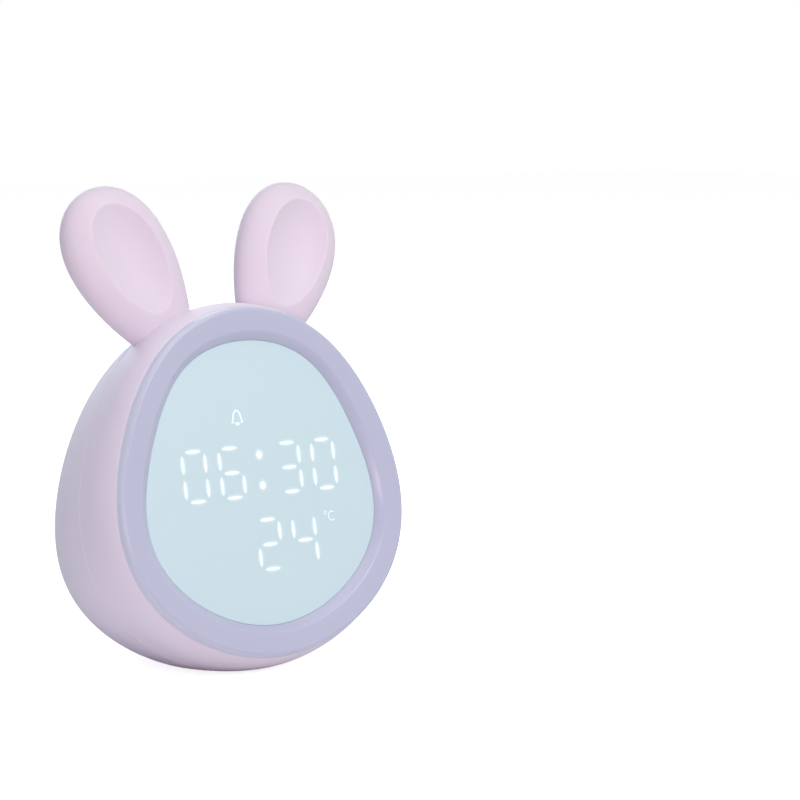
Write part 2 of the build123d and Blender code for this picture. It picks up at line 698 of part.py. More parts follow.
def battery_cradle():
    wide, tall, deep = CELL_PACK
    rim = CRADLE_GAP + CRADLE_WALL
    outer_size = (wide + 2 * rim, tall + 2 * rim, CRADLE_FLOOR + CRADLE_RIM)
    cradle = block(0, CRADLE_MID, CRADLE_FRONT, outer_size)
    room = (wide + 2 * CRADLE_GAP, tall + 2 * CRADLE_GAP, CRADLE_RIM)
    cradle -= block(0, CRADLE_MID, CRADLE_BACK, room)
    for side in (-1, 1):
        wall_y = CRADLE_MID + side * (tall / 2 + CRADLE_GAP + CRADLE_WALL / 2)
        clip_top = deep + CRADLE_GAP + CRADLE_WALL
        cradle += block(0, wall_y, CRADLE_BACK, (CRADLE_CLIP, CRADLE_WALL, clip_top))
        hook_y = wall_y - side * CRADLE_HOOK / 2
        hook_size = (CRADLE_CLIP, CRADLE_HOOK + CRADLE_WALL, CRADLE_WALL)
        cradle += block(0, hook_y, CRADLE_BACK + deep + CRADLE_GAP, hook_size)
    for x, y in BOARD_BOSSES:
        near_x = max(-wide / 2, min(wide / 2, x))
        near_y = max(CRADLE_MID - tall / 2, min(CRADLE_MID + tall / 2, y))
        reach = hypot(x - near_x, y - near_y)
        turn = degrees(atan2(y - near_y, x - near_x))
        middle = Pos((x + near_x) / 2, (y + near_y) / 2, -CRADLE_BACK + CRADLE_FLOOR / 2)
        cradle += middle * Rot(0, 0, turn) * Box(reach, CRADLE_ARM, CRADLE_FLOOR)
        cradle += rod(x, y, BOARD_BACK, CRADLE_BACK, CRADLE_ARM / 2)
    hole = SMALL_SCREW_R + HOLE_GAP
    return cradle - [rod(x, y, BOARD_BACK, CRADLE_BACK, hole) for x, y in BOARD_BOSSES]


def battery_pack():
    pack = block(0, CRADLE_MID, CRADLE_BACK, CELL_PACK)
    return fillet(pack.edges().filter_by(Axis.X), CELL_PACK_ROUND)


def controller_chip():
    return block(*CHIP_PLACE, BOARD_BACK, CHIP)


def sound_chip():
    return block(*MEMORY_CHIP_PLACE, BOARD_BACK, MEMORY_CHIP)


def touch_foil():
    """Foil glued under the crown, in front of the tongue, which senses a hand."""
    span = (FOIL_DEPTH - FOIL_LONG / 2, FOIL_DEPTH + FOIL_LONG / 2)
    foil = loft_body(WALL + FOIL_GLUE, *span) - loft_body(WALL + FOIL_GLUE + FOIL_THICK, *span)
    return foil & Pos(0, FACE_TALL / 2, 0) * Box(FOIL_WIDE, FACE_TALL / 2, FAR)


# ---- keys ----------------------------------------------------------------------------------------
def key(x):
    """A key from its rounded top down to the stem that presses the switch."""
    flange_back = PANEL_INNER - KEY_GAP
    reach = BACK_DEPTH + KEY_PROUD - flange_back
    cap = Pos(0, 0, -BACK_DEPTH - KEY_PROUD) * extrude(key_face(0), amount=reach)
    cap = chamfer(cap.edges().group_by(Axis.Z)[0], KEY_SOFT_EDGE)
    wide, tall = KEY_WIDE + 2 * FLANGE_EDGE, KEY_TALL + 2 * FLANGE_EDGE
    flange_front = flange_back - FLANGE_THICK
    flange = block(0, 0, flange_front, (wide, tall, FLANGE_THICK))
    stem = block(0, 0, flange_front - KEY_STEM, (KEY_STEM_SIDE, KEY_STEM_SIDE, KEY_STEM))
    return Pos(x, KEY_ROW, 0) * (cap + flange + stem)


def plunger(x):
    return rod(x, KEY_ROW, SWITCH_FRONT - PLUNGER_SUNK, SWITCH_FRONT + PLUNGER_PROUD, PLUNGER_R)


def switch_housings():
    """Switch bodies on the key board, each bored for its plunger."""
    bore_depth = PLUNGER_SUNK + KEY_TRAVEL + KEY_GAP
    housings = []
    for x in KEY_PLACES:
        body = block(x, KEY_ROW, KEY_BOARD_BACK, (SWITCH_SIDE, SWITCH_SIDE, SWITCH_TALL))
        bore = rod(x, KEY_ROW, SWITCH_FRONT - bore_depth, SWITCH_FRONT, PLUNGER_R + PLUNGER_GAP)
        housings.append(body - bore)
    return Compound(children=housings)


def key_board():
    board = block(0, KEY_ROW, KEY_BOARD_BACK - KEY_BOARD[2], KEY_BOARD)
    hole = SMALL_SCREW_R + HOLE_GAP
    front = KEY_BOARD_BACK - KEY_BOARD[2]
    return board - [rod(x, y, front, KEY_BOARD_BACK, hole) for x, y in KEY_POSTS]


# ---- speaker -------------------------------------------------------------------------------------
def turned(points):
    """A solid turned about the speaker's axis from (radius, depth) points."""
    profile = make_face(Polyline(*[(radius, 0, -depth) for radius, depth in points], close=True))
    return Pos(0, SPEAKER_ROW, 0) * revolve(profile, Axis.Z)


def speaker_frame():
    """Pressed basket: a flat rim and a cone down to the magnet."""
    rim_back = CLAMP_BACK + SPEAKER_SHEET
    mouth = SPEAKER_R - SPEAKER_RIM
    floor = CLAMP_BACK - SPEAKER_TALL + SPEAKER_SHEET
    return turned([
        (SPEAKER_R, rim_back),
        (SPEAKER_R, CLAMP_BACK),
        (mouth, CLAMP_BACK),
        (SPEAKER_BACK_R, floor - SPEAKER_SHEET),
        (0, floor - SPEAKER_SHEET),
        (0, floor),
        (SPEAKER_BACK_R - SPEAKER_SHEET, floor),
        (mouth - SPEAKER_SHEET, rim_back),
    ])


def speaker_cone():
    """Paper cone with a domed cap, glued inside the basket's mouth."""
    top = CLAMP_BACK + SPEAKER_SHEET - FIT
    mouth = SPEAKER_R - SPEAKER_RIM - SPEAKER_SHEET - FIT
    low = top - CONE_DROP
    return turned([
        (mouth, top),
        (mouth, top - CONE_SHEET),
        (CONE_CAP_R, low - CONE_SHEET),
        (0, low),
        (0, low + CONE_SHEET + CONE_CAP_R / 4),
        (CONE_CAP_R, low),
        (mouth - CONE_SHEET, top),
    ])


def speaker_magnet():
    back = CLAMP_BACK - SPEAKER_TALL
    return rod(0, SPEAKER_ROW, back - MAGNET_TALL, back, MAGNET_R)


def speaker_gasket():
    gasket = rod(0, SPEAKER_ROW, PANEL_INNER - GASKET_THICK, PANEL_INNER, SPEAKER_R)
    mouth = SPEAKER_R - SPEAKER_RIM
    return gasket - rod(0, SPEAKER_ROW, PANEL_INNER - GASKET_THICK, PANEL_INNER, mouth)


def speaker_clamp():
    front = CLAMP_BACK - CLAMP_THICK
    clamp = rod(0, SPEAKER_ROW, front, CLAMP_BACK, SPEAKER_R + SPEAKER_FENCE)
    clamp += [rod(x, y, front, CLAMP_BACK, CLAMP_LUG_R) for x, y in SPEAKER_POSTS]
    clamp -= rod(0, SPEAKER_ROW, front, CLAMP_BACK, SPEAKER_R - SPEAKER_RIM + FIT)
    hole = SMALL_SCREW_R + HOLE_GAP
    return clamp - [rod(x, y, front, CLAMP_BACK, hole) for x, y in SPEAKER_POSTS]


# ---- charging ------------------------------------------------------------------------------------
def usb_socket():
    """Formed sleeve open at the back panel, with the contact tongue inside."""
    sleeve = Pos(0, 0, -SOCKET_MOUTH) * extrude(socket_face(0), amount=SOCKET_LONG)
    room = extrude(socket_face(-SOCKET_SHEET), amount=SOCKET_LONG - SOCKET_SHEET)
    tongue_size = (SOCKET_WIDE - SOCKET_TALL, SOCKET_TONGUE, SOCKET_LONG - 4 * SOCKET_SHEET)
    tongue = block(0, SOCKET_ROW, SOCKET_MOUTH - SOCKET_LONG, tongue_size)
    return sleeve - Pos(0, 0, -SOCKET_MOUTH) * room + tongue


def charge_board():
    wide, thick, long = CHARGE_BOARD
    return block(0, CHARGE_BOARD_TOP - thick / 2, CHARGE_BOARD_BACK - long, (wide, thick, long))


def charge_chip():
    wide, thick, long = CHARGE_CHIP
    front = CHARGE_BOARD_BACK - CHARGE_BOARD[2] + CHARGE_CHIP[2] / 2
    return block(0, CHARGE_BOARD_TOP + thick / 2, front, (wide, thick, long))


def temperature_sensor():
    """A bead on two wire legs that stand on the charging board."""
    depth = CHARGE_BOARD_BACK - CHARGE_BOARD[2] + 2 * SENSOR_R
    leg = Rot(90, 0, 0) * Cylinder(SENSOR_LEG_R, SENSOR_LEG)
    legs = [
        Pos(SENSOR_X + side * SENSOR_LEG_STEP, CHARGE_BOARD_TOP + SENSOR_LEG / 2, -depth) * leg
        for side in (-1, 1)
    ]
    bead = Rot(90, 0, 0) * Cylinder(SENSOR_R, SENSOR_TALL)
    return Pos(SENSOR_X, CHARGE_BOARD_TOP + SENSOR_LEG, -depth) * bead + legs


# ---- the clock -----------------------------------------------------------------------------------
def build_nodes():
    outer = outer_body()
    inner = inner_body()
    nodes = {
        "main_shell": main_shell(outer, inner),
        "rear_cover": rear_cover(outer, inner),
        "night_light_ring": night_light_ring(),
        "display_window": display_window(),
        "window_tape": window_tape(),
        "left_ear": ear(-1, outer),
        "right_ear": ear(1, outer),
        "foot_pad": foot_plate(outer, 0, 0),
        "segment_reflector": segment_reflector(),
        "display_board": display_board(),
        "display_leds": display_leds(),
        "ring_led_board": ring_led_board(),
        "ring_leds": ring_leds(),
        "controller_chip": controller_chip(),
        "sound_chip": sound_chip(),
        "touch_foil": touch_foil(),
        "battery_cradle": battery_cradle(),
        "battery_pack": battery_pack(),
        "key_board": key_board(),
        "switch_housings": switch_housings(),
        "speaker_frame": speaker_frame(),
        "speaker_cone": speaker_cone(),
        "speaker_magnet": speaker_magnet(),
        "speaker_gasket": speaker_gasket(),
        "speaker_clamp": speaker_clamp(),
        "usb_socket": usb_socket(),
        "charge_board": charge_board(),
        "charge_chip": charge_chip(),
        "temperature_sensor": temperature_sensor(),
        "housing_screws": housing_screws(),
        "screw_plugs": screw_plugs(outer),
        "board_screws": board_screws(),
        "clamp_screws": clamp_screws(),
        "key_board_screws": key_board_screws(),
    }
    for name, x in zip(KEY_NAMES, KEY_PLACES):
        nodes[f"{name}_key"] = key(x)
        nodes[f"{name}_plunger"] = plunger(x)
    return nodes


def write_nodes():
    """Stand the clock upright with the middle of its depth on the origin, and write it."""
    nodes = build_nodes()
    upright = {name: FACE.location * shape for name, shape in nodes.items()}
    front = upright["night_light_ring"].bounding_box().min.Y
    back = upright["rear_cover"].bounding_box().max.Y
    os.makedirs("parts", exist_ok=True)
    for name, shape in upright.items():
        export_step(Pos(0, -(front + back) / 2, 0) * shape, f"parts/{name}.step")
    print(f"middle of the depth at {(front + back) / 2:.4f}")


write_nodes()
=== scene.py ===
"""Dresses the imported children's alarm clock: smooth mouldings, finishes, lit display and studio.

Every size is in millimetres in the clock's own face frame: X to the right, Y up along the
leaning face and Z out of the face, with Z = 0 where the light ring meets the housing.  A depth
is measured the other way, into the clock.  Meshes are moved to the upright frame, in metres,
when they are made.
"""

import logging
import math
from dataclasses import dataclass, field, replace
from enum import Enum
from typing import Any, Callable, Iterable, Optional, Sequence

import bmesh
import bpy
import numpy as np
from bpy.types import Material, Mesh, NodeSocket, NodeTree, Object
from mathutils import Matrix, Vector


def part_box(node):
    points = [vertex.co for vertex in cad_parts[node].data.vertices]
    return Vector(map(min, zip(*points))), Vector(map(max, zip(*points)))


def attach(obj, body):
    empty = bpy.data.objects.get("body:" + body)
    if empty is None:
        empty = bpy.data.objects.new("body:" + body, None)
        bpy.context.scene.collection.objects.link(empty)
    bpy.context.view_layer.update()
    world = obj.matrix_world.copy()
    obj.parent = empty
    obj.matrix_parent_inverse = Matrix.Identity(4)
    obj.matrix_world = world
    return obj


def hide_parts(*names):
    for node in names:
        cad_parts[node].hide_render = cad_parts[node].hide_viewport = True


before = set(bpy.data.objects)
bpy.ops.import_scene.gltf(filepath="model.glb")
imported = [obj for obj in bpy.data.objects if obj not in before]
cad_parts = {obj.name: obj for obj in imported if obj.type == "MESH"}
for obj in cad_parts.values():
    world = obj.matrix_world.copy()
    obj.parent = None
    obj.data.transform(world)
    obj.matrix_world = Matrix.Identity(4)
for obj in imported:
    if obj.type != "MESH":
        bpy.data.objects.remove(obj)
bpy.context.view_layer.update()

MM = 0.001
BODY = "clock"
LOG = logging.getLogger("clock")


# ---- numbers and nodes ------------------------------------------------------
def linear(hex_colour: str) -> tuple[float, float, float, float]:
    """An sRGB colour of six hex digits as opaque linear RGBA."""
    channels = [int(hex_colour[i:i + 2], 16) / 255 for i in (0, 2, 4)]
    values = [c / 12.92 if c <= 0.04045 else ((c + 0.055) / 1.055) ** 2.4 for c in channels]
    return (values[0], values[1], values[2], 1.0)


def per_metre(size_mm: float) -> float:
    """The scale that gives a pattern's cell a real size in millimetres."""
    return 1.0 / (size_mm * MM)


def add(tree: NodeTree, kind: str, inputs: Optional[dict[Any, Any]] = None,
        **settings: Any) -> bpy.types.Node:
    """Adds a node with its settings, values and links.

    Args:
        tree: the node tree that gets the node.
        kind: the node's type name.
        inputs: socket name or number to a value, or to the output socket that feeds it.
        settings: the node's own properties.

    Returns:
        The new node.
    """
    node = tree.nodes.new(kind)
    for name, value in settings.items():
        setattr(node, name, value)
    for socket, value in (inputs or {}).items():
        if isinstance(value, NodeSocket):
            tree.links.new(value, node.inputs[socket])
        else:
            node.inputs[socket].default_value = value
    return node


def blank_tree(block: Any) -> NodeTree:
    """The emptied node tree of a material or a world."""
    block.use_nodes = True
    block.node_tree.nodes.clear()
    return block.node_tree


def linked(name: str, data: bpy.types.ID) -> Object:
    """A new object of the scene, at the origin."""
    thing = bpy.data.objects.new(name, data)
    bpy.context.scene.collection.objects.link(thing)
    return thing


def paint(mesh: Mesh, name: str, values: Sequence[float]) -> None:
    """Gives every vertex a number that a node can read by its name."""
    mesh.attributes.new(name, "FLOAT", "POINT").data.foreach_set("value", values)


# ---- forms ------------------------------------------------------------------
@dataclass(frozen=True)
class FacePlane:
    """The leaning plane that every size is given in."""

    lean: float = 11.35
    height: float = 53.2
    middle_depth: float = 26.252

    def world(self, points: np.ndarray) -> np.ndarray:
        """Turns points of the face frame, in millimetres, into upright ones in metres."""
        tilt = math.radians(self.lean)
        x, y, z = np.asarray(points, dtype=float).T
        across = y * math.sin(tilt) - z * math.cos(tilt) - self.middle_depth
        up = self.height + y * math.cos(tilt) + z * math.sin(tilt)
        return np.column_stack((x, across, up)) * MM

    def local(self, points: np.ndarray) -> np.ndarray:
        """Turns upright points in metres back into the face frame in millimetres."""
        tilt = math.radians(self.lean)
        x, across, up = (np.asarray(points, dtype=float) / MM).T
        across = across + self.middle_depth
        up = up - self.height
        y = across * math.sin(tilt) + up * math.cos(tilt)
        z = -across * math.cos(tilt) + up * math.sin(tilt)
        return np.column_stack((x, y, z))

    def lift(self, points: np.ndarray, floor: float) -> np.ndarray:
        """Raises what hangs below a height over the table, in millimetres, to that height."""
        moved = self.world(points)
        moved[:, 2] = np.maximum(moved[:, 2], floor * MM)
        return self.local(moved)


@dataclass(frozen=True)
class Egg:
    """An egg outline that departs from an ellipse by three shares."""

    width: float
    tall: float
    mid: float
    taper: float
    waist: float
    chin: float

    def ring(self, turns: np.ndarray, inset: float = 0.0) -> np.ndarray:
        """Points of the outline.

        Args:
            turns: angles in radians, 0 at the top and growing towards +X.
            inset: how far inside the outline, in millimetres.

        Returns:
            Rows of x, y.
        """
        c = np.cos(turns)
        shape = 1 - self.taper * c + self.waist * c**2 + self.chin * c**3
        x = (self.width / 2 - inset) * np.sin(turns) * shape
        return np.column_stack((x, self.mid + (self.tall / 2 - inset) * c))


FACE = FacePlane()
FACE_EGG = Egg(89.0, 93.0, -1.7, 0.146, 0.030, 0.106)
WINDOW_EGG = Egg(71.5, 75.9, -1.95, 0.200, 0.052, 0.223)
WINDOW_DEPTH = 0.65


def turns_of(count: int) -> np.ndarray:
    """Evenly spaced angles once round, in radians."""
    return np.arange(count) * 2 * math.pi / count


def circle(count: int) -> np.ndarray:
    """Points of the unit circle, from the top towards +X."""
    turns = turns_of(count)
    return np.column_stack((np.sin(turns), np.cos(turns)))


def reach(angles: np.ndarray, outline: np.ndarray) -> np.ndarray:
    """How far a closed outline lies from the origin in each direction, 0 being +Y."""
    return np.interp(angles, np.arctan2(*outline.T), np.hypot(*outline.T),
                     period=2 * math.pi)


def at_depth(ring: np.ndarray, depth: float) -> np.ndarray:
    """Puts a flat outline at a depth."""
    return np.column_stack((ring, np.full(len(ring), -depth)))


@dataclass(frozen=True)
class HousingForm:
    """The housing's skin: it swells from the face to a belly, then closes to a dome."""

    swell: float = 0.058
    swell_power: float = 2.4
    belly: float = 11.6
    dome_length: float = 60.0
    dome_power: float = 1.9
    sag_slope: float = 0.026
    sag_curve: float = 0.00195
    back_depth: float = 63.0
    back_round: float = 3.0
    seam: float = 15.8
    wall: float = 2.2
    flat_height: float = 0.5

    def mid(self, depth: float) -> float:
        """The middle of the section at a depth."""
        return FACE_EGG.mid - self.sag_slope * depth - self.sag_curve * depth**2

    def share(self, depth: Any, wall: float = 0.0) -> Any:
        """The size of the section at a depth, as a share of the outline at the face."""
        ahead = np.maximum(self.belly - np.asarray(depth), 0.0) / self.belly
        behind = np.maximum(np.asarray(depth) - self.belly, 0.0) / (self.dome_length - wall)
        bend = 1 + self.swell * (1 - ahead**self.swell_power)
        return bend * (1 - behind**self.dome_power) ** (1 / self.dome_power)

    def under_skin(self, points: np.ndarray) -> np.ndarray:
        """How far each point lies inside the skin, measured to the section's middle.

        Args:
            points: rows of x, y, z in the face frame.

        Returns:
            Distances in millimetres, negative outside.
        """
        depth = np.clip(-points[:, 2], 0.0, self.back_depth)
        egg = replace(FACE_EGG, mid=0.0).ring(turns_of(1440))
        up = points[:, 1] - self.mid(depth)
        own = reach(np.arctan2(points[:, 0], up), egg)
        return self.share(depth) * own - np.hypot(points[:, 0], up)

    def section(self, turns: np.ndarray, depth: float, wall: float = 0.0,
                share: Optional[float] = None) -> np.ndarray:
        """A ring of points round the housing.

        Args:
            turns: angles round the outline.
            depth: how far behind the face.
            wall: how far inside the skin.
            share: the section's size where it departs from the skin's own.

        Returns:
            Rows of x, y, z in the face frame.
        """
        if share is None:
            share = self.share(depth, wall)
        inset = wall * (1.0 if depth <= self.belly else share / (1 + self.swell))
        egg = replace(FACE_EGG, width=FACE_EGG.width * share, tall=FACE_EGG.tall * share,
                      mid=self.mid(depth))
        return at_depth(egg.ring(turns, inset), depth)

    def rounded_back(self, steps: int) -> list[tuple[float, float]]:
        """The round between dome and back panel, rolled as a ball inside both.

        Args:
            steps: how many points the round gets.

        Returns:
            Depth and share of each point, from the dome to the panel.
        """
        mean = (FACE_EGG.width + FACE_EGG.tall) / 4
        centre_depth = self.back_depth - self.back_round
        depths = np.linspace(self.back_depth - 4 * self.back_round, self.back_depth, 400)
        radii = np.array([mean * self.share(d) for d in depths])
        inner = np.full(len(depths), np.inf)
        near = np.abs(depths - centre_depth) < self.back_round
        gap = self.back_round**2 - (depths[near] - centre_depth) ** 2
        inner[near] = radii[near] - np.sqrt(gap)
        centre = float(inner.min())
        start = depths[int(inner.argmin())]
        first = math.asin((start - centre_depth) / self.back_round)
        angles = np.linspace(first, math.pi / 2, steps)
        return [
            (centre_depth + self.back_round * math.sin(a),
             (centre + self.back_round * math.cos(a)) / mean)
            for a in angles
        ]


FORM = HousingForm()


# ---- meshes -----------------------------------------------------------------
def finished(name: str, mesh: Mesh, sharp_angle: float = 40.0) -> Object:
    """Makes the object of a mesh: smooth, with edges over an angle in degrees kept crisp."""
    mesh.name = name
    mesh.shade_smooth()
    mesh.set_sharp_from_angle(angle=math.radians(sharp_angle))
    return linked(name, mesh)


def outward(mesh: Mesh) -> Mesh:
    """Turns a closed mesh's faces outwards."""
    form = bmesh.new()
    form.from_mesh(mesh)
    bmesh.ops.remove_doubles(form, verts=form.verts, dist=1e-7)
    bmesh.ops.recalc_face_normals(form, faces=form.faces)
    if form.calc_volume(signed=True) < 0:
        bmesh.ops.reverse_faces(form, faces=form.faces)
    form.to_mesh(mesh)
    form.free()
    return mesh


def rings_mesh(rings: Sequence[np.ndarray], band: bool = False, upright: bool = False) -> Mesh:
    """Skins a row of rings that all have as many points.

    Args:
        rings: rows of x, y, z in the face frame.
        band: whether the last ring joins the first, as in a hoop; else both ends are closed.
        upright: whether the points are in the upright frame, in metres, already.

    Returns:
        A closed mesh in metres, in the upright frame.
    """
    count = len(rings[0])
    points = np.concatenate(rings)
    points = points if upright else FACE.world(points)
    faces: list[tuple[int, ...]] = []
    for i in range(len(rings) if band else len(rings) - 1):
        a, b = i * count, (i + 1) % len(rings) * count
        faces += [
            (a + j, a + (j + 1) % count, b + (j + 1) % count, b + j) for j in range(count)
        ]
    if not band:
        ends = [points[:count].mean(axis=0), points[-count:].mean(axis=0)]
        last = (len(rings) - 1) * count
        points = np.vstack((points, ends))
        top = len(points) - 2
        faces += [((j + 1) % count, j, top) for j in range(count)]
        faces += [(last + j, last + (j + 1) % count, top + 1) for j in range(count)]
    mesh = bpy.data.meshes.new("form")
    mesh.from_pydata(points.tolist(), [], faces)
    return outward(mesh)


def rod_mesh(x: float, y: float, depths: Sequence[float], radii: Sequence[float],
             sides: int = 48) -> Mesh:
    """A round bar along the depth whose radius may step or flare."""
    return rings_mesh([
        at_depth(circle(sides) * r + (x, y), d) for d, r in zip(depths, radii)])


def joined(meshes: Iterable[Mesh]) -> Mesh:
    """Puts several meshes into one, as separate islands."""
    form = bmesh.new()
    for mesh in meshes:
        form.from_mesh(mesh)
        bpy.data.meshes.remove(mesh)
    whole = bpy.data.meshes.new("form")
    form.to_mesh(whole)
    form.free()
    return whole


def evaluated(piece: Object) -> Mesh:
    """The plain mesh of an object as its modifiers leave it; the object is removed."""
    depsgraph = bpy.context.evaluated_depsgraph_get()
    mesh = bpy.data.meshes.new_from_object(piece.evaluated_get(depsgraph))
    old = piece.data
    bpy.data.objects.remove(piece)
    bpy.data.meshes.remove(old)
    return mesh


class Keep(Enum):
    """What a cut leaves of a body."""

    OUTSIDE = "DIFFERENCE"
    INSIDE = "INTERSECT"


def cut(body: Mesh, cutters: Sequence[Mesh], keep: Keep = Keep.OUTSIDE) -> Mesh:
    """Cuts a closed mesh with closed meshes.

    Args:
        body: the mesh that is cut.
        cutters: the knives.
        keep: which part stays, outside or inside the knives.

    Returns:
        The part of the body that stays.
    """
    piece = finished("cut_body", body)
    knives = finished("cutters", joined(cutters))
    knives.hide_render = True
    boolean = piece.modifiers.new("cut", "BOOLEAN")
    boolean.operation = keep.value
    boolean.solver = "EXACT"
    boolean.use_self = True
    boolean.object = knives
    mesh = evaluated(piece)
    used = knives.data
    bpy.data.objects.remove(knives)
    bpy.data.meshes.remove(used)
    return mesh


# how near a point of a moulding's solid lies to a surface, in mm, to count as part of it
NEAR_SKIN, NEAR_PANEL, ON_PANEL, NEAR_FLAT = 0.15, 0.2, 0.3, 0.2


def inner_copy(node: str, skin: float) -> Mesh:
    """A closed copy of a moulding's solid with its outer skin drawn in under the smooth one.

    Args:
        node: the CAD node.
        skin: how far the outer skin moves in, in millimetres.

    Returns:
        The copy in metres, in the upright frame.
    """
    form = bmesh.new()
    form.from_mesh(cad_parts[node].data)
    bmesh.ops.remove_doubles(form, verts=form.verts, dist=1e-6)
    upright = np.array([v.co[:] for v in form.verts])
    points = FACE.local(upright)
    depth = np.clip(-points[:, 2], 0.0, FORM.back_depth)
    gap = FORM.under_skin(points)
    at_panel = depth > FORM.back_depth - FORM.back_round - NEAR_PANEL
    outer = (gap < NEAR_SKIN) | (at_panel & (gap < FORM.back_round))
    middle = np.column_stack((np.zeros(len(depth)), FORM.mid(depth)))
    arm = points[:, :2] - middle
    drawn = 1 - skin / np.maximum(np.hypot(*arm.T), 1.0)
    points[:, :2] = middle + arm * np.where(outer, drawn, 1.0)[:, None]
    points[:, 2] += np.where(depth > FORM.back_depth - ON_PANEL, skin, 0.0)
    moved = FACE.world(points)
    hanging = upright[:, 2] < (FORM.flat_height + NEAR_FLAT) * MM
    low = (FORM.flat_height + skin) * MM
    moved[:, 2] = np.where(hanging, np.maximum(moved[:, 2], low), moved[:, 2])
    for vert, place in zip(form.verts, moved):
        vert.co = Vector(place)
    mesh = bpy.data.meshes.new("inner")
    form.to_mesh(mesh)
    form.free()
    return mesh


# ---- repeats by geometry nodes ----------------------------------------------
@dataclass(frozen=True)
class Scatter:
    """Sets copies of one small mesh on places, each turned in the face's plane."""

    name: str

    def tree(self) -> tuple[NodeTree, dict[str, str]]:
        """Builds the node tree.

        Returns:
            The tree, and the identifier of each named input.
        """
        tree = bpy.data.node_groups.new(self.name, "GeometryNodeTree")
        face = tree.interface
        kinds = (("Places", "NodeSocketGeometry"), ("Copy", "NodeSocketObject"),
                 ("Finish", "NodeSocketMaterial"), ("Size", "NodeSocketFloat"))
        ids = {
            label: face.new_socket(label, in_out="INPUT", socket_type=kind).identifier
            for label, kind in kinds
        }
        face.new_socket("Geometry", in_out="OUTPUT", socket_type="NodeSocketGeometry")
        enter = add(tree, "NodeGroupInput")
        copy = add(tree, "GeometryNodeObjectInfo", {"Object": enter.outputs["Copy"]},
                   transform_space="ORIGINAL")
        turn = add(tree, "GeometryNodeInputNamedAttribute", {"Name": "turn"},
                   data_type="FLOAT")
        axis = [0.0, -math.cos(math.radians(FACE.lean)), math.sin(math.radians(FACE.lean))]
        spin = add(tree, "FunctionNodeAxisAngleToRotation",
                   {"Axis": axis, "Angle": turn.outputs["Attribute"]})
        placed = add(tree, "GeometryNodeInstanceOnPoints", {
            "Points": enter.outputs["Places"],
            "Instance": copy.outputs["Geometry"],
            "Rotation": spin.outputs["Rotation"],
            "Scale": enter.outputs["Size"],
        })
        real = add(tree, "GeometryNodeRealizeInstances", {"Geometry": placed.outputs["Instances"]})
        dressed = add(tree, "GeometryNodeSetMaterial", {
            "Geometry": real.outputs["Geometry"], "Material": enter.outputs["Finish"]})
        add(tree, "NodeGroupOutput", {"Geometry": dressed.outputs["Geometry"]})
        return tree, ids

    def build(self, copy: Mesh, places: Sequence[Sequence[float]],
              finish: Optional[Material] = None) -> Mesh:
        """Sets the copies and turns them into a plain mesh.

        Args:
            copy: the small mesh, in metres, its own middle at the origin.
            places: rows of x, y, z in the face frame and a turn in degrees.
            finish: the material of every copy.

        Returns:
            All copies as one mesh.
        """
        tree, ids = self.tree()
        rows = np.array(places, dtype=float)
        points = bpy.data.meshes.new("places")
        points.from_pydata(FACE.world(rows[:, :3]).tolist(), [], [])
        paint(points, "turn", np.radians(rows[:, 3]))
        holder = linked("places", points)
        pattern = bpy.data.objects.new("copy", copy)
        nodes = holder.modifiers.new(self.name, "NODES")
        nodes.node_group = tree
        nodes[ids["Copy"]] = pattern
        nodes[ids["Size"]] = 1.0
        if finish is not None:
            nodes[ids["Finish"]] = finish
        mesh = evaluated(holder)
        bpy.data.objects.remove(pattern)
        return mesh


def centred(mesh: Mesh, depth: float = 0.0) -> Mesh:
    """Moves a mesh made about x = y = 0 at a depth to the origin, for use as a copy."""
    start = FACE.world(np.array([[0.0, 0.0, -depth]]))[0]
    for vert in mesh.vertices:
        vert.co -= Vector(start)
    return mesh


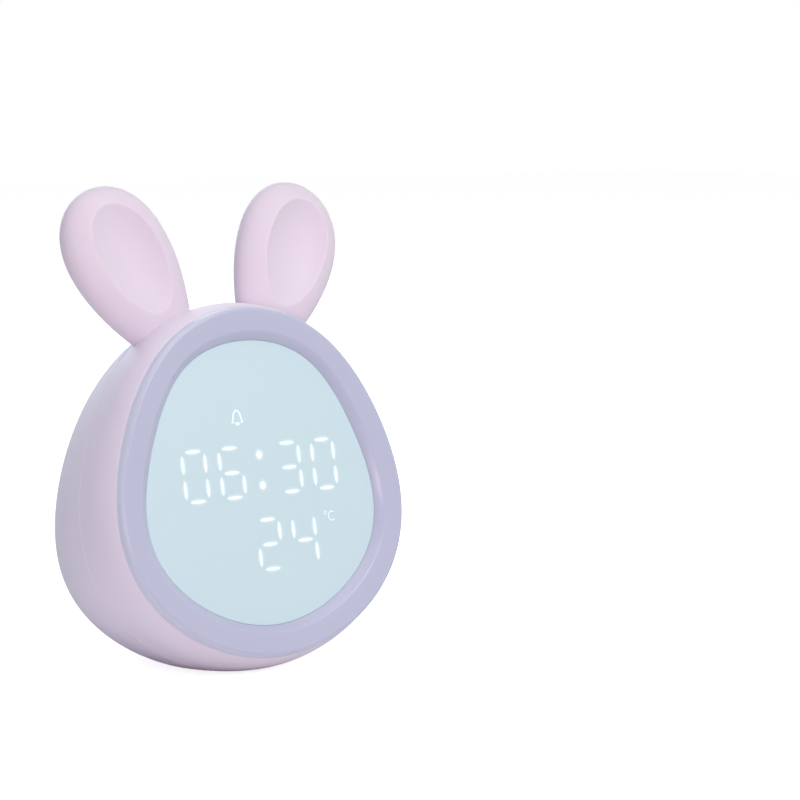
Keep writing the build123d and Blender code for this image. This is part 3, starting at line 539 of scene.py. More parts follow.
# ---- finishes ---------------------------------------------------------------
@dataclass(frozen=True)
class Moulded:
    """A moulded plastic or rubber: an even colour with a fine grain from the tool.

    ABS from a spark-eroded tool looks satin: soft highlights, and a grain that only shows up
    close.  Silicone scatters more light and has a drier, duller skin.
    """

    name: str
    colour: str
    roughness: float = 0.45
    grain_mm: float = 0.5           # coarser than the real 0.05 mm, so that it shows at all
    grain_depth_mm: float = 0.003
    drift: float = 0.03             # slow change of tone over the piece
    drift_mm: float = 40.0
    scatter: float = 0.0
    scatter_mm: tuple[float, float, float] = (1.0, 0.8, 0.8)
    sheen: float = 0.0
    metallic: float = 0.0
    ior: float = 1.5

    def shade(self, tree: NodeTree, place: NodeSocket) -> NodeSocket:
        """The colour over the surface: the even tone, drifting slowly."""
        drift = add(tree, "ShaderNodeTexNoise",
                    {"Vector": place, "Scale": per_metre(self.drift_mm), "Detail": 2.0})
        base = linear(self.colour)
        low = tuple(c * (1 - self.drift) for c in base[:3]) + (1.0,)
        high = tuple(min(c * (1 + self.drift), 1.0) for c in base[:3]) + (1.0,)
        mixed = add(tree, "ShaderNodeMix", {
            "Factor": drift.outputs["Fac"], "A": low, "B": high}, data_type="RGBA")
        return mixed.outputs["Result"]

    def build(self) -> Material:
        """Makes the node material, which reads only Object coordinates."""
        material = bpy.data.materials.new(self.name)
        tree = blank_tree(material)
        place = add(tree, "ShaderNodeTexCoord").outputs["Object"]
        grain = add(tree, "ShaderNodeTexNoise",
                    {"Vector": place, "Scale": per_metre(self.grain_mm), "Detail": 3.0})
        bump = add(tree, "ShaderNodeBump", {
            "Height": grain.outputs["Fac"], "Distance": self.grain_depth_mm * MM,
            "Strength": 1.0})
        rough = add(tree, "ShaderNodeMapRange", {
            "Value": grain.outputs["Fac"], "To Min": self.roughness - 0.04,
            "To Max": self.roughness + 0.04})
        shader = add(tree, "ShaderNodeBsdfPrincipled", {
            "Base Color": self.shade(tree, place), "Roughness": rough.outputs["Result"],
            "Normal": bump.outputs["Normal"], "IOR": self.ior, "Metallic": self.metallic,
            "Subsurface Weight": self.scatter,
            "Subsurface Radius": [r * MM for r in self.scatter_mm],
            "Subsurface Scale": 1.0, "Sheen Weight": self.sheen})
        add(tree, "ShaderNodeOutputMaterial", {"Surface": shader.outputs["BSDF"]})
        return material


@dataclass(frozen=True)
class LitWindow(Moulded):
    """Back-printed acrylic over lamps: pale and even, white where a segment shines through.

    The attribute "light" is 1 in the middle of a lit stroke and 0 on bare window; between
    them the acrylic scatters a faint halo.
    """

    glow: float = 0.5

    def build(self) -> Material:
        """Makes the material with its light."""
        material = super().build()
        tree = material.node_tree
        shader = next(n for n in tree.nodes if n.type == "BSDF_PRINCIPLED")
        light = add(tree, "ShaderNodeAttribute", attribute_name="light")
        ramp = add(tree, "ShaderNodeMapRange", {
            "Value": light.outputs["Fac"], "To Max": self.glow})
        tree.links.new(ramp.outputs["Result"], shader.inputs["Emission Strength"])
        shader.inputs["Emission Color"].default_value = (1.0, 1.0, 1.0, 1.0)
        return material


@dataclass(frozen=True)
class PaintedRimLight(Moulded):
    """Opal polycarbonate with painted rim light: a paler tone painted where its rim is thin,
    standing in for light carried sideways out of its edge.

    The attribute "rim" is 1 at the outer edge and 0 on the thick part: how much of the painted rim
    light a point gets.
    """

    # the paler tone of the painted rim light
    painted_rim_colour: str = "FFFFFF"

    def shade(self, tree: NodeTree, place: NodeSocket) -> NodeSocket:
        """The colour over the surface: the even tone, going over to the paler tone of the painted
        rim light.
        """
        # the rim attribute: where the painted rim light goes
        rim = add(tree, "ShaderNodeAttribute", attribute_name="rim")
        mixed = add(tree, "ShaderNodeMix", {
            "Factor": rim.outputs["Fac"], "A": super().shade(tree, place),
            "B": linear(self.painted_rim_colour)}, data_type="RGBA")
        return mixed.outputs["Result"]


class Finish(Enum):
    """Every finish of the clock, by its real material and how it was made."""

    # satin plastics: wide, soft highlights and a grain that shows only close by
    SHELL = Moulded("moulded_abs_lilac", "E4DCEB", 0.5)
    KEY = Moulded("moulded_abs_key_lilac", "D2C6DC", 0.4)
    MASK = Moulded("moulded_white_abs", "ECECEA", 0.6)
    CRADLE = Moulded("moulded_grey_abs", "C9C9CC", 0.5)
    CHIP = Moulded("moulded_black_epoxy", "202124", 0.55)
    SWITCH = Moulded("moulded_black_nylon", "1E1E20", 0.5)
    # soft rubbers: light goes in a little, no hard highlight
    EAR = Moulded("moulded_silicone_blush", "DDD2E0", 0.55, grain_mm=0.4,
                  scatter=0.25, scatter_mm=(2.5, 1.6, 1.8), sheen=0.08)
    PLUG = Moulded("moulded_silicone_plug", "E4DCEB", 0.5)
    FOOT = Moulded("moulded_silicone_foot", "DAD3DE", 0.7)
    FOAM = Moulded("black_foam_tape", "3A3A3C", 0.9, grain_mm=0.8, grain_depth_mm=0.05)
    # clear and milky plastics: a clean highlight over a depth of colour
    # the ring's rim colour is painted light: a paler tone on its thin outer rim, standing in for
    # light out of its edge
    RING = PaintedRimLight("moulded_opal_polycarbonate", "B7BBD2", 0.3, grain_depth_mm=0.001,
                   scatter=0.2, scatter_mm=(1.5, 1.5, 1.8), painted_rim_colour="CED3E6")
    WINDOW = LitWindow("back_printed_acrylic", "C6DEE4", 0.38, grain_depth_mm=0.002,
                       drift=0.01)
    LAMP = Moulded("phosphor_resin", "F4F1E2", 0.25)
    WRAP = Moulded("shrunk_pvc_sleeve", "3E6FB0", 0.3, grain_mm=6.0, grain_depth_mm=0.05)
    BOARD = Moulded("soldermask_green_glass_epoxy", "2E6B3F", 0.35, grain_mm=1.2)
    # dull and dry: ink and paper
    INK = Moulded("pad_printed_grey_ink", "8F86A3", 0.55, grain_mm=0.3)
    CONE = Moulded("pressed_paper_pulp", "2B2A2C", 0.85, grain_mm=0.7, grain_depth_mm=0.03)
    # metals: reflections that the rolled or plated surface blurs
    STEEL = Moulded("zinc_plated_steel", "B9BBC0", 0.32, grain_mm=0.8, metallic=1.0)
    COPPER = Moulded("rolled_copper_foil", "C47B4F", 0.3, grain_mm=1.5, metallic=1.0)
    MAGNET = Moulded("sintered_ferrite", "3A3A3D", 0.5, grain_mm=0.6, metallic=0.6)


@dataclass
class Wardrobe:
    """Makes each finish once and dresses pieces with it."""

    made: dict[Finish, Material] = field(default_factory=dict)

    def material(self, finish: Finish) -> Material:
        """The material of a finish, made at its first use."""
        if finish not in self.made:
            self.made[finish] = finish.value.build()
        return self.made[finish]

    def dress(self, piece: Object, finish: Finish,
              body: str = BODY, nodes: Sequence[str] = ()) -> Object:
        """Gives a new piece its finish, its body and the nodes that it stands for.

        Args:
            piece: the finished object.
            finish: its finish.
            body: the body that it rides on.
            nodes: CAD nodes that it replaces.

        Returns:
            The same piece.
        """
        piece.data.materials.clear()
        piece.data.materials.append(self.material(finish))
        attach(piece, body)
        if nodes:
            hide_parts(*nodes)
        LOG.info("%s: %d faces on %s", piece.name, len(piece.data.polygons), body)
        return piece

    def redress(self, node: str, finish: Finish) -> None:
        """Puts a finish on a CAD node that is shown as it is."""
        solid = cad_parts[node]
        for slot in solid.material_slots:
            slot.material = self.material(finish)
        if not solid.material_slots:
            solid.data.materials.append(self.material(finish))
        LOG.info("%s: %s", node, finish.value.name)


# ---- housing ----------------------------------------------------------------
@dataclass
class BackPanel:
    """Where keys, grille, charging socket and screw wells open in the rear cover."""

    keys: tuple[str, ...] = ("set", "down", "up", "alarm")
    key_pitch: float = 8.2
    key_row: float = -20.3
    key_size: tuple[float, float] = (6.0, 4.6)
    key_round: float = 2.2
    key_gap: float = 0.3
    key_proud: float = 1.2
    speaker_row: float = -2.5
    grille_r: float = 0.9
    grille_pitch: float = 4.0
    grille_rings: int = 2
    socket_row: float = -28.6
    socket_size: tuple[float, float] = (9.5, 3.7)
    well_r: float = 2.9
    screw_angles: tuple[float, ...] = (52, 118)
    boss_inset: float = 6.7
    deck_depth: float = 3.0
    lip: float = 0.25           # broken edge round every hole
    past: float = 0.05          # how far the edge's knife reaches past the panel
    knife_in: float = 4.0       # how far a knife reaches in front of the panel
    knife_out: float = 2.0      # and how far behind it
    well_length: float = 45.0

    def key_places(self) -> list[float]:
        """Where the keys stand along the row."""
        half = (len(self.keys) - 1) / 2
        return [(i - half) * self.key_pitch for i in range(len(self.keys))]

    def wells(self) -> list[tuple[float, float]]:
        """The axes of the four screw wells."""
        turns = np.radians(self.screw_angles)
        places = FORM.section(turns, self.deck_depth, self.boss_inset)
        return [(side * x, y) for x, y, _ in places for side in (-1, 1)]

    def grille(self) -> list[tuple[float, float]]:
        """The middles of the sound holes: one, and rings of six and twelve."""
        places = [(0.0, self.speaker_row)]
        for ring in range(1, self.grille_rings + 1):
            for i in range(6 * ring):
                angle = 2 * math.pi * i / (6 * ring)
                far = ring * self.grille_pitch
                places.append((far * math.sin(angle), self.speaker_row + far * math.cos(angle)))
        return places

    @staticmethod
    def rounded(size: tuple[float, float], corner: float, grow: float = 0.0) -> np.ndarray:
        """A rounded rectangle about the origin, grown all round."""
        half = np.array(size) / 2 - corner
        radius = corner + grow
        points = []
        for k, (sx, sy) in enumerate(((1, 1), (-1, 1), (-1, -1), (1, -1))):
            for angle in np.radians(np.linspace(90 * k, 90 * k + 90, 9)):
                points.append((sx * half[0] + radius * math.cos(angle),
                               sy * half[1] + radius * math.sin(angle)))
        return np.array(points)

    def knife_depths(self) -> tuple[float, ...]:
        """Where a knife starts, where its mouth begins to widen and ends, and where it stops."""
        back = FORM.back_depth
        return back - self.knife_in, back - self.lip, back + self.past, back + self.knife_out

    def hole(self, size: tuple[float, float], corner: float, gap: float, x: float, y: float
             ) -> Mesh:
        """A knife through the panel whose mouth is broken by the lip."""
        narrow, wide = (self.rounded(size, corner, gap + extra) + (x, y)
                        for extra in (0.0, self.lip + self.past))
        return rings_mesh([at_depth(ring, depth) for ring, depth in zip(
            (narrow, narrow, wide, wide), self.knife_depths())])

    def knives(self) -> list[Mesh]:
        """Everything that opens the rear skin."""
        back = FORM.back_depth
        made = [rod_mesh(x, y, (back - self.well_length, back + self.knife_out),
                         (self.well_r, self.well_r)) for x, y in self.wells()]
        wide = self.grille_r + self.lip + self.past
        radii = (self.grille_r, self.grille_r, wide, wide)
        one = centred(rod_mesh(0, 0, self.knife_depths(), radii, 24))
        places = [(x, y, 0.0, 0.0) for x, y in self.grille()]
        made.append(Scatter("sound_holes").build(one, places))
        made += [self.hole(self.key_size, self.key_round, self.key_gap, x, self.key_row)
                 for x in self.key_places()]
        half = self.socket_size[1] / 2 - 0.01
        made.append(self.hole(self.socket_size, half, 0.0, 0.0, self.socket_row))
        return made


@dataclass
class Housing:
    """The two mouldings of the housing, each a smooth skin over the solid's own inside."""

    panel: BackPanel
    sides: int = 288
    skin: float = 0.9
    lap: float = 0.7            # share of the skin in which the inside is drawn under it
    edge: float = 0.24          # round at the parting line and at the ring
    rolled: tuple[int, ...] = (0, 30, 60, 90)   # degrees of that round
    steps: dict[str, int] = field(default_factory=lambda: {
        "front": 26, "front_inside": 14, "rear": 60, "rear_inside": 40, "back_round": 8})
    spread: tuple[float, ...] = (0.99, 0.85, 0.65, 0.45, 0.25, 0.1)  # rings on the panel
    seam_gap: float = 0.1
    plug_depth: float = 29.0
    plug_gap: float = 0.04

    def skin_rings(self, front: float, back: float, steps: int) -> list[np.ndarray]:
        """Outer rings between two depths, with a small round at both edges.

        Args:
            front: the front edge's depth.
            back: the back edge's depth.
            steps: rings between the edges.

        Returns:
            The rings from front to back.
        """
        turns = turns_of(self.sides)

        def rounded(edge: float, way: int) -> list[np.ndarray]:
            """The round at an edge, from the skin to the edge's own depth."""
            rings = []
            for a in np.radians(self.rolled):
                depth = edge + way * self.edge * (1 - math.sin(a))
                rings.append(FORM.section(turns, depth, self.edge * (1 - math.cos(a)),
                                          FORM.share(depth)))
            return rings

        middle = np.linspace(front + self.edge, back - self.edge, steps)[1:-1]
        return (rounded(front, 1)[::-1] + [FORM.section(turns, float(d)) for d in middle]
                + rounded(back, -1))

    def grounded(self, rings: list[np.ndarray], floor: float) -> list[np.ndarray]:
        """Flattens the underside of every ring."""
        return [FACE.lift(ring, floor) for ring in rings]

    def front(self) -> Mesh:
        """The front skin: a hoop from the ring to the parting line."""
        turns = turns_of(self.sides)
        seam = FORM.seam - self.seam_gap / 2
        outer = self.skin_rings(LightRing.collar, seam, self.steps["front"])
        depths = np.linspace(seam, LightRing.collar, self.steps["front_inside"])
        inner = [FORM.section(turns, float(d), self.skin) for d in depths]
        rings = self.grounded(outer, FORM.flat_height)
        rings += self.grounded(inner, FORM.flat_height + self.skin)
        return rings_mesh(rings, band=True)

    def rear(self) -> Mesh:
        """The rear skin: the dome and the flat panel with its openings."""
        turns = turns_of(self.sides)
        start = FORM.seam + self.seam_gap / 2
        rounded = FORM.rounded_back(self.steps["back_round"])
        first = rounded[0][0]
        outer = self.skin_rings(start, first, self.steps["rear"])[:-len(self.rolled)]
        outer += [FORM.section(turns, d, 0.0, share) for d, share in rounded]
        flat = rounded[-1][1]
        outer += [FORM.section(turns, FORM.back_depth, 0.0, flat * s) for s in self.spread]
        inner_back = FORM.back_depth - self.skin
        inner = [FORM.section(turns, inner_back, 0.0, flat * s) for s in self.spread[::-1]]
        depths = np.linspace(inner_back, start, self.steps["rear_inside"])
        inner += [FORM.section(turns, float(d), self.skin) for d in depths]
        rings = self.grounded(outer, FORM.flat_height)
        rings += self.grounded(inner, FORM.flat_height + self.skin)
        # the skin runs from the panel's middle outside, round the seam, to its middle inside
        order = rings[:len(outer)][::-1] + rings[len(outer):][::-1]
        return rings_mesh(order)

    def plugs(self) -> Mesh:
        """The soft plugs in the wells' mouths, their tops flush with the dome."""
        start = FORM.seam + self.seam_gap / 2
        end = FORM.rounded_back(self.steps["back_round"])[0][0]
        dome = self.skin_rings(start, end, self.steps["rear"])
        radius = self.panel.well_r - self.plug_gap
        rods = [rod_mesh(x, y, (self.plug_depth, FORM.back_depth), (radius, radius), 64)
                for x, y in self.panel.wells()]
        return cut(rings_mesh(dome), rods, Keep.INSIDE)

    def build(self, wardrobe: Wardrobe) -> None:
        """Makes and dresses both mouldings and the plugs."""
        rear = cut(self.rear(), self.panel.knives() + [Foot().pocket()])
        for name, node, skin in (("front_moulding", "main_shell", self.front()),
                                 ("rear_moulding", "rear_cover", rear)):
            mesh = joined([skin, inner_copy(node, self.skin * self.lap)])
            wardrobe.dress(finished(name, mesh), Finish.SHELL, nodes=(node,))
        wardrobe.dress(finished("well_plugs", self.plugs()), Finish.PLUG,
                       nodes=("screw_plugs",))


# ---- night-light ring -------------------------------------------------------
@dataclass
class LightRing:
    """The dished diffuser: a soft crest, and a slope that falls to the window."""

    crest_height: float = 1.7
    crest_inset: float = 1.2
    gentle: float = 0.25        # share of the fall that is even; the rest is near the window
    bend: float = 0.68
    bend_power: float = 1.35
    collar: float = 0.5         # how far the ring reaches back over the housing's edge
    collar_thick: float = 0.45
    painted_rim_to: float = 75.0       # lean of the outer roll, in degrees, where its painted rim light ends
    painted_rim_over: float = 45.0     # and over how many degrees it goes
    base: float = 1.4
    seat: float = 2.35          # inset of the part that sits in the shell's mouth
    roll: tuple[float, float, int] = (8, 98, 18)    # first and last lean, and steps
    slope_steps: int = 44
    skirt: float = 1.5
    skirt_reach: float = 2.7
    lip: float = 1.4
    rebate: float = 0.1         # upright part of the wall beside the window's face
    ledge_depth: float = 2.9
    ledge_thick: float = 1.0
    ledge_width: float = 1.8
    sides: int = 288

    def slope(self, turns: np.ndarray, share: float) -> np.ndarray:
        """A ring of the inner slope, from the crest at share 0 to the window at share 1."""
        crest = FACE_EGG.ring(turns, self.crest_inset)
        edge = WINDOW_EGG.ring(turns)
        steep = max(share - self.bend, 0.0) / (1 - self.bend)
        fall = self.gentle * share + (1 - self.gentle) * steep**self.bend_power
        height = self.crest_height - (self.crest_height + WINDOW_DEPTH) * fall
        return at_depth(crest + (edge - crest) * share, -height)

    def build(self, wardrobe: Wardrobe) -> None:
        """Makes and dresses the ring as one closed hoop."""
        turns = turns_of(self.sides)

        def face(inset: float, depth: float) -> np.ndarray:
            return at_depth(FACE_EGG.ring(turns, inset), depth)

        def window(outset: float, depth: float) -> np.ndarray:
            return at_depth(WINDOW_EGG.ring(turns, -outset), depth)

        # the outer side goes on in line with the housing, then rolls over the crest
        rings = [FORM.section(turns, d) for d in (self.collar, self.collar * 0.5, 0.0)]
        # the collar's rings get the full painted rim light, a paler tone that stands in for light
        # out of the thin edge
        pale = np.ones(len(rings))
        lean = np.radians(np.linspace(*self.roll))
        lean = lean[lean < math.pi / 2]
        rings += [face(self.crest_inset * (1 - math.cos(a)), -self.crest_height * math.sin(a))
                  for a in lean]
        # over the outer roll the painted rim light fades out
        painted_rim_fade = np.clip((self.painted_rim_to - np.degrees(lean)) / self.painted_rim_over, 0.0, 1.0)
        rings += [self.slope(turns, float(s)) for s in np.linspace(0, 1, self.slope_steps)]
        bottom = self.ledge_depth + self.ledge_thick
        rings += [window(0, WINDOW_DEPTH + self.rebate), window(0, self.ledge_depth)]
        rings += [window(-self.ledge_width, self.ledge_depth),
                  window(-self.ledge_width, bottom)]
        rings += [window(self.lip, bottom), window(self.lip, self.base)]
        inner_skirt = self.seat + self.skirt
        rings += [face(inner_skirt, self.base), face(inner_skirt, self.skirt_reach)]
        rings += [face(self.seat, self.skirt_reach), face(self.seat, 0.0)]
        plain = np.zeros(len(rings) - len(pale) - len(painted_rim_fade))
        rings += [face(self.collar_thick, 0.0), face(self.collar_thick, self.collar)]
        mesh = rings_mesh(rings, band=True)
        # painted rim light per ring: 1 on the collar and its thin inner side, fading over the
        # roll, 0 elsewhere
        rim = np.concatenate((pale, painted_rim_fade, plain, np.ones(2)))
        paint(mesh, "rim", np.repeat(rim, self.sides))
        ring = finished("opal_ring", mesh, 50)
        wardrobe.dress(ring, Finish.RING, nodes=("night_light_ring",))


# ---- display ----------------------------------------------------------------
BELL_FLANK = ((1.75, -1.25), (1.42, -0.75), (1.22, -0.1), (1.1, 0.7), (0.72, 1.4),
              (0.26, 1.82))
BELL_BASE = ((-0.9, -1.4), (0.0, -1.45), (0.9, -1.4))
SEGMENTS = {"0": "abcdef", "2": "abged", "3": "abgcd", "4": "fgbc", "6": "afgedc"}


@dataclass
class Display:
    """The window and what shines through it: a time, the degrees and two signs."""

    thick: float = 2.0
    gap: float = 0.04
    edge: float = 0.06
    closing: float = 12.0       # inset of the last ring before a face closes to its middle
    proud: float = 0.02         # lit strokes over the window, to keep them clear of it
    digit_tall: float = 13.1
    digit_wide: float = 7.0
    pitch: float = 11.5
    pairs: tuple[tuple[str, float, float], ...] = (
        ("06", -14.5, 1.2), ("30", 15.5, 1.2), ("24", 6.4, -18.6))
    colon_x: float = 0.5
    time_row: float = 1.2
    colon_step: float = 4.1
    stroke_length: float = 4.2
    stroke_width: float = 0.5
    dot_r: float = 0.7
    dot_tall: float = 1.15
    fade: tuple[tuple[float, float], ...] = (   # how far out, and how bright there
        (0.0, 1.0), (0.14, 0.5), (0.3, 0.22), (0.5, 0.11), (0.75, 0.05), (1.05, 0.0))
    bell: tuple[float, float] = (-5.2, 15.7)
    unit: tuple[float, float] = (21.2, -12.9)
    sides: int = 288

    def window(self, wardrobe: Wardrobe) -> None:
        """The plate, its front edge broken."""
        turns = turns_of(self.sides)

        def ring(inset: float, depth: float) -> np.ndarray:
            return at_depth(WINDOW_EGG.ring(turns, self.gap + inset), depth)

        front, back = WINDOW_DEPTH, WINDOW_DEPTH + self.thick
        rings = [ring(self.closing, front), ring(self.edge * 2, front),
                 ring(self.edge, front), ring(0.0, front + self.edge), ring(0.0, back),
                 ring(self.closing, back)]
        plate = finished("display_plate", rings_mesh(rings))
        wardrobe.dress(plate, Finish.WINDOW, nodes=("display_window",))

    @staticmethod
    def lit(points: np.ndarray, faces: Sequence[Sequence[int]], light: np.ndarray) -> Mesh:
        """A flat mesh that faces the reader, with how brightly each of its points shines."""
        mesh = bpy.data.meshes.new("lit")
        mesh.from_pydata(points.tolist(), [], faces)
        paint(mesh, "light", light)
        if mesh.polygons[0].normal.y > 0:
            mesh.flip_normals()
        return mesh

    def stroke(self, outline: Callable[[float], np.ndarray]) -> Mesh:
        """A flat stroke about the origin, bright in its core, that fades outwards.

        Args:
            outline: gives the stroke's outline, grown by a distance, always as many points.

        Returns:
            The mesh with its "light" attribute, in metres, at the origin.
        """
        rings = [outline(grow) for grow, _ in self.fade]
        count = len(rings[0])
        flat = np.vstack([np.zeros((1, 2)), *rings])
        points = FACE.world(np.column_stack((flat, np.zeros(len(flat)))))
        points -= FACE.world(np.zeros((1, 3)))
        faces: list[tuple[int, ...]] = []
        for j in range(count):
            k = (j + 1) % count
            faces.append((0, 1 + k, 1 + j))
            for i in range(len(rings) - 1):
                a = 1 + i * count
                faces.append((a + j, a + k, a + count + k, a + count + j))
        bright = np.repeat([share for _, share in self.fade], count)
        return self.lit(points, faces, np.append(1.0, bright))

    def leaf(self, grow: float) -> np.ndarray:
        """A segment's outline: long and slim, tapering to both tips."""
        turns = turns_of(36)
        half = self.stroke_length / 2 + grow * 0.8, self.stroke_width / 2 + grow
        return np.column_stack((np.cos(turns) * half[0], np.sin(turns) * half[1]))

    def segment_places(self) -> list[tuple[float, float, float, float]]:
        """Place and turn of every lit segment."""
        wide, tall = self.digit_wide / 2, self.digit_tall / 2
        grid = {"a": (0, tall, 0), "g": (0, 0, 0), "d": (0, -tall, 0),
                "f": (-wide, tall / 2, 90), "b": (wide, tall / 2, 90),
                "e": (-wide, -tall / 2, 90), "c": (wide, -tall / 2, 90)}
        places = []
        for digits, x, y in self.pairs:
            for digit, side in zip(digits, (-1, 1)):
                for name in SEGMENTS[digit]:
                    dx, dy, turn = grid[name]
                    height = self.proud * (1 if turn else 2) - WINDOW_DEPTH
                    places.append((x + side * self.pitch / 2 + dx, y + dy, height, turn))
        return places

    def line(self, path: np.ndarray, width: float, closed: bool, bright: float = 0.9) -> Mesh:
        """A thin lit line along a path on the window.

        Args:
            path: rows of x, y in the face frame.
            width: the bright width; it fades over as much again.
            closed: whether the path ends where it starts.
            bright: how bright its middle is, from 0 to 1.

        Returns:
            The mesh with its "light" attribute, in place.
        """
        ahead = np.roll(path, -1, axis=0) - path
        behind = path - np.roll(path, 1, axis=0)
        if not closed:
            ahead[-1], behind[0] = behind[-1], ahead[0]
        run = ahead / np.hypot(*ahead.T)[:, None] + behind / np.hypot(*behind.T)[:, None]
        run /= np.hypot(*run.T)[:, None]
        side = np.column_stack((-run[:, 1], run[:, 0]))
        rows = [path + side * (share * width) for share in (-1.0, -0.45, 0.45, 1.0)]
        count = len(path)
        flat = np.vstack(rows)
        z = np.full(len(flat), self.proud - WINDOW_DEPTH)
        points = FACE.world(np.column_stack((flat, z)))
        faces = []
        for r in range(len(rows) - 1):
            for j in range(count if closed else count - 1):
                k = (j + 1) % count
                a, b = r * count, (r + 1) * count
                faces.append((a + j, a + k, b + k, b + j))
        return self.lit(points, faces, np.repeat((0.0, bright, bright, 0.0), count))

    def signs(self) -> list[Mesh]:
        """The alarm bell over the time and the degree sign beside the digits."""
        x, y = self.bell
        outline = [*BELL_FLANK, (0.0, 1.92), *((-px, py) for px, py in BELL_FLANK[::-1]),
                   *BELL_BASE]
        bell = np.array(outline) + self.bell

        def arc(turns: np.ndarray, middle: tuple[float, float], wide: float, tall: float
                ) -> np.ndarray:
            """Part of an oval about a point beside the unit's own."""
            oval = np.column_stack((wide * np.cos(turns), tall * np.sin(turns)))
            return oval + middle + self.unit

        ring = arc(turns_of(14), (-1.6, 0.85), 0.46, 0.46)
        letter = arc(np.radians(np.linspace(48, 312, 21)), (0.5, -0.15), 1.05, 1.22)

        def dot(grow: float) -> np.ndarray:
            return circle(16) * (0.45, 0.3) * (1 + grow * 1.5)

        clapper = Scatter("clapper").build(
            self.stroke(dot), [(x, y - 1.7, 2 * self.proud - WINDOW_DEPTH, 0.0)])
        return [self.line(bell, 0.24, True), clapper, self.line(ring, 0.17, True, 0.5),
                self.line(letter, 0.22, False, 0.55)]

    def build(self, wardrobe: Wardrobe) -> None:
        """Makes the window, the lit segments, the colon and the signs."""
        self.window(wardrobe)
        lit = Scatter("lit_segments").build(self.stroke(self.leaf), self.segment_places())
        oval = circle(28) * (1.0, self.dot_tall)
        dot = self.stroke(lambda grow: oval * (self.dot_r + grow))
        spots = [(self.colon_x, self.time_row + s * self.colon_step,
                  self.proud - WINDOW_DEPTH, 0.0) for s in (-1, 1)]
        colon = Scatter("lit_colon").build(dot, spots)
        strokes = joined([lit, colon, *self.signs()])
        wardrobe.dress(finished("lit_strokes", strokes), Finish.WINDOW)


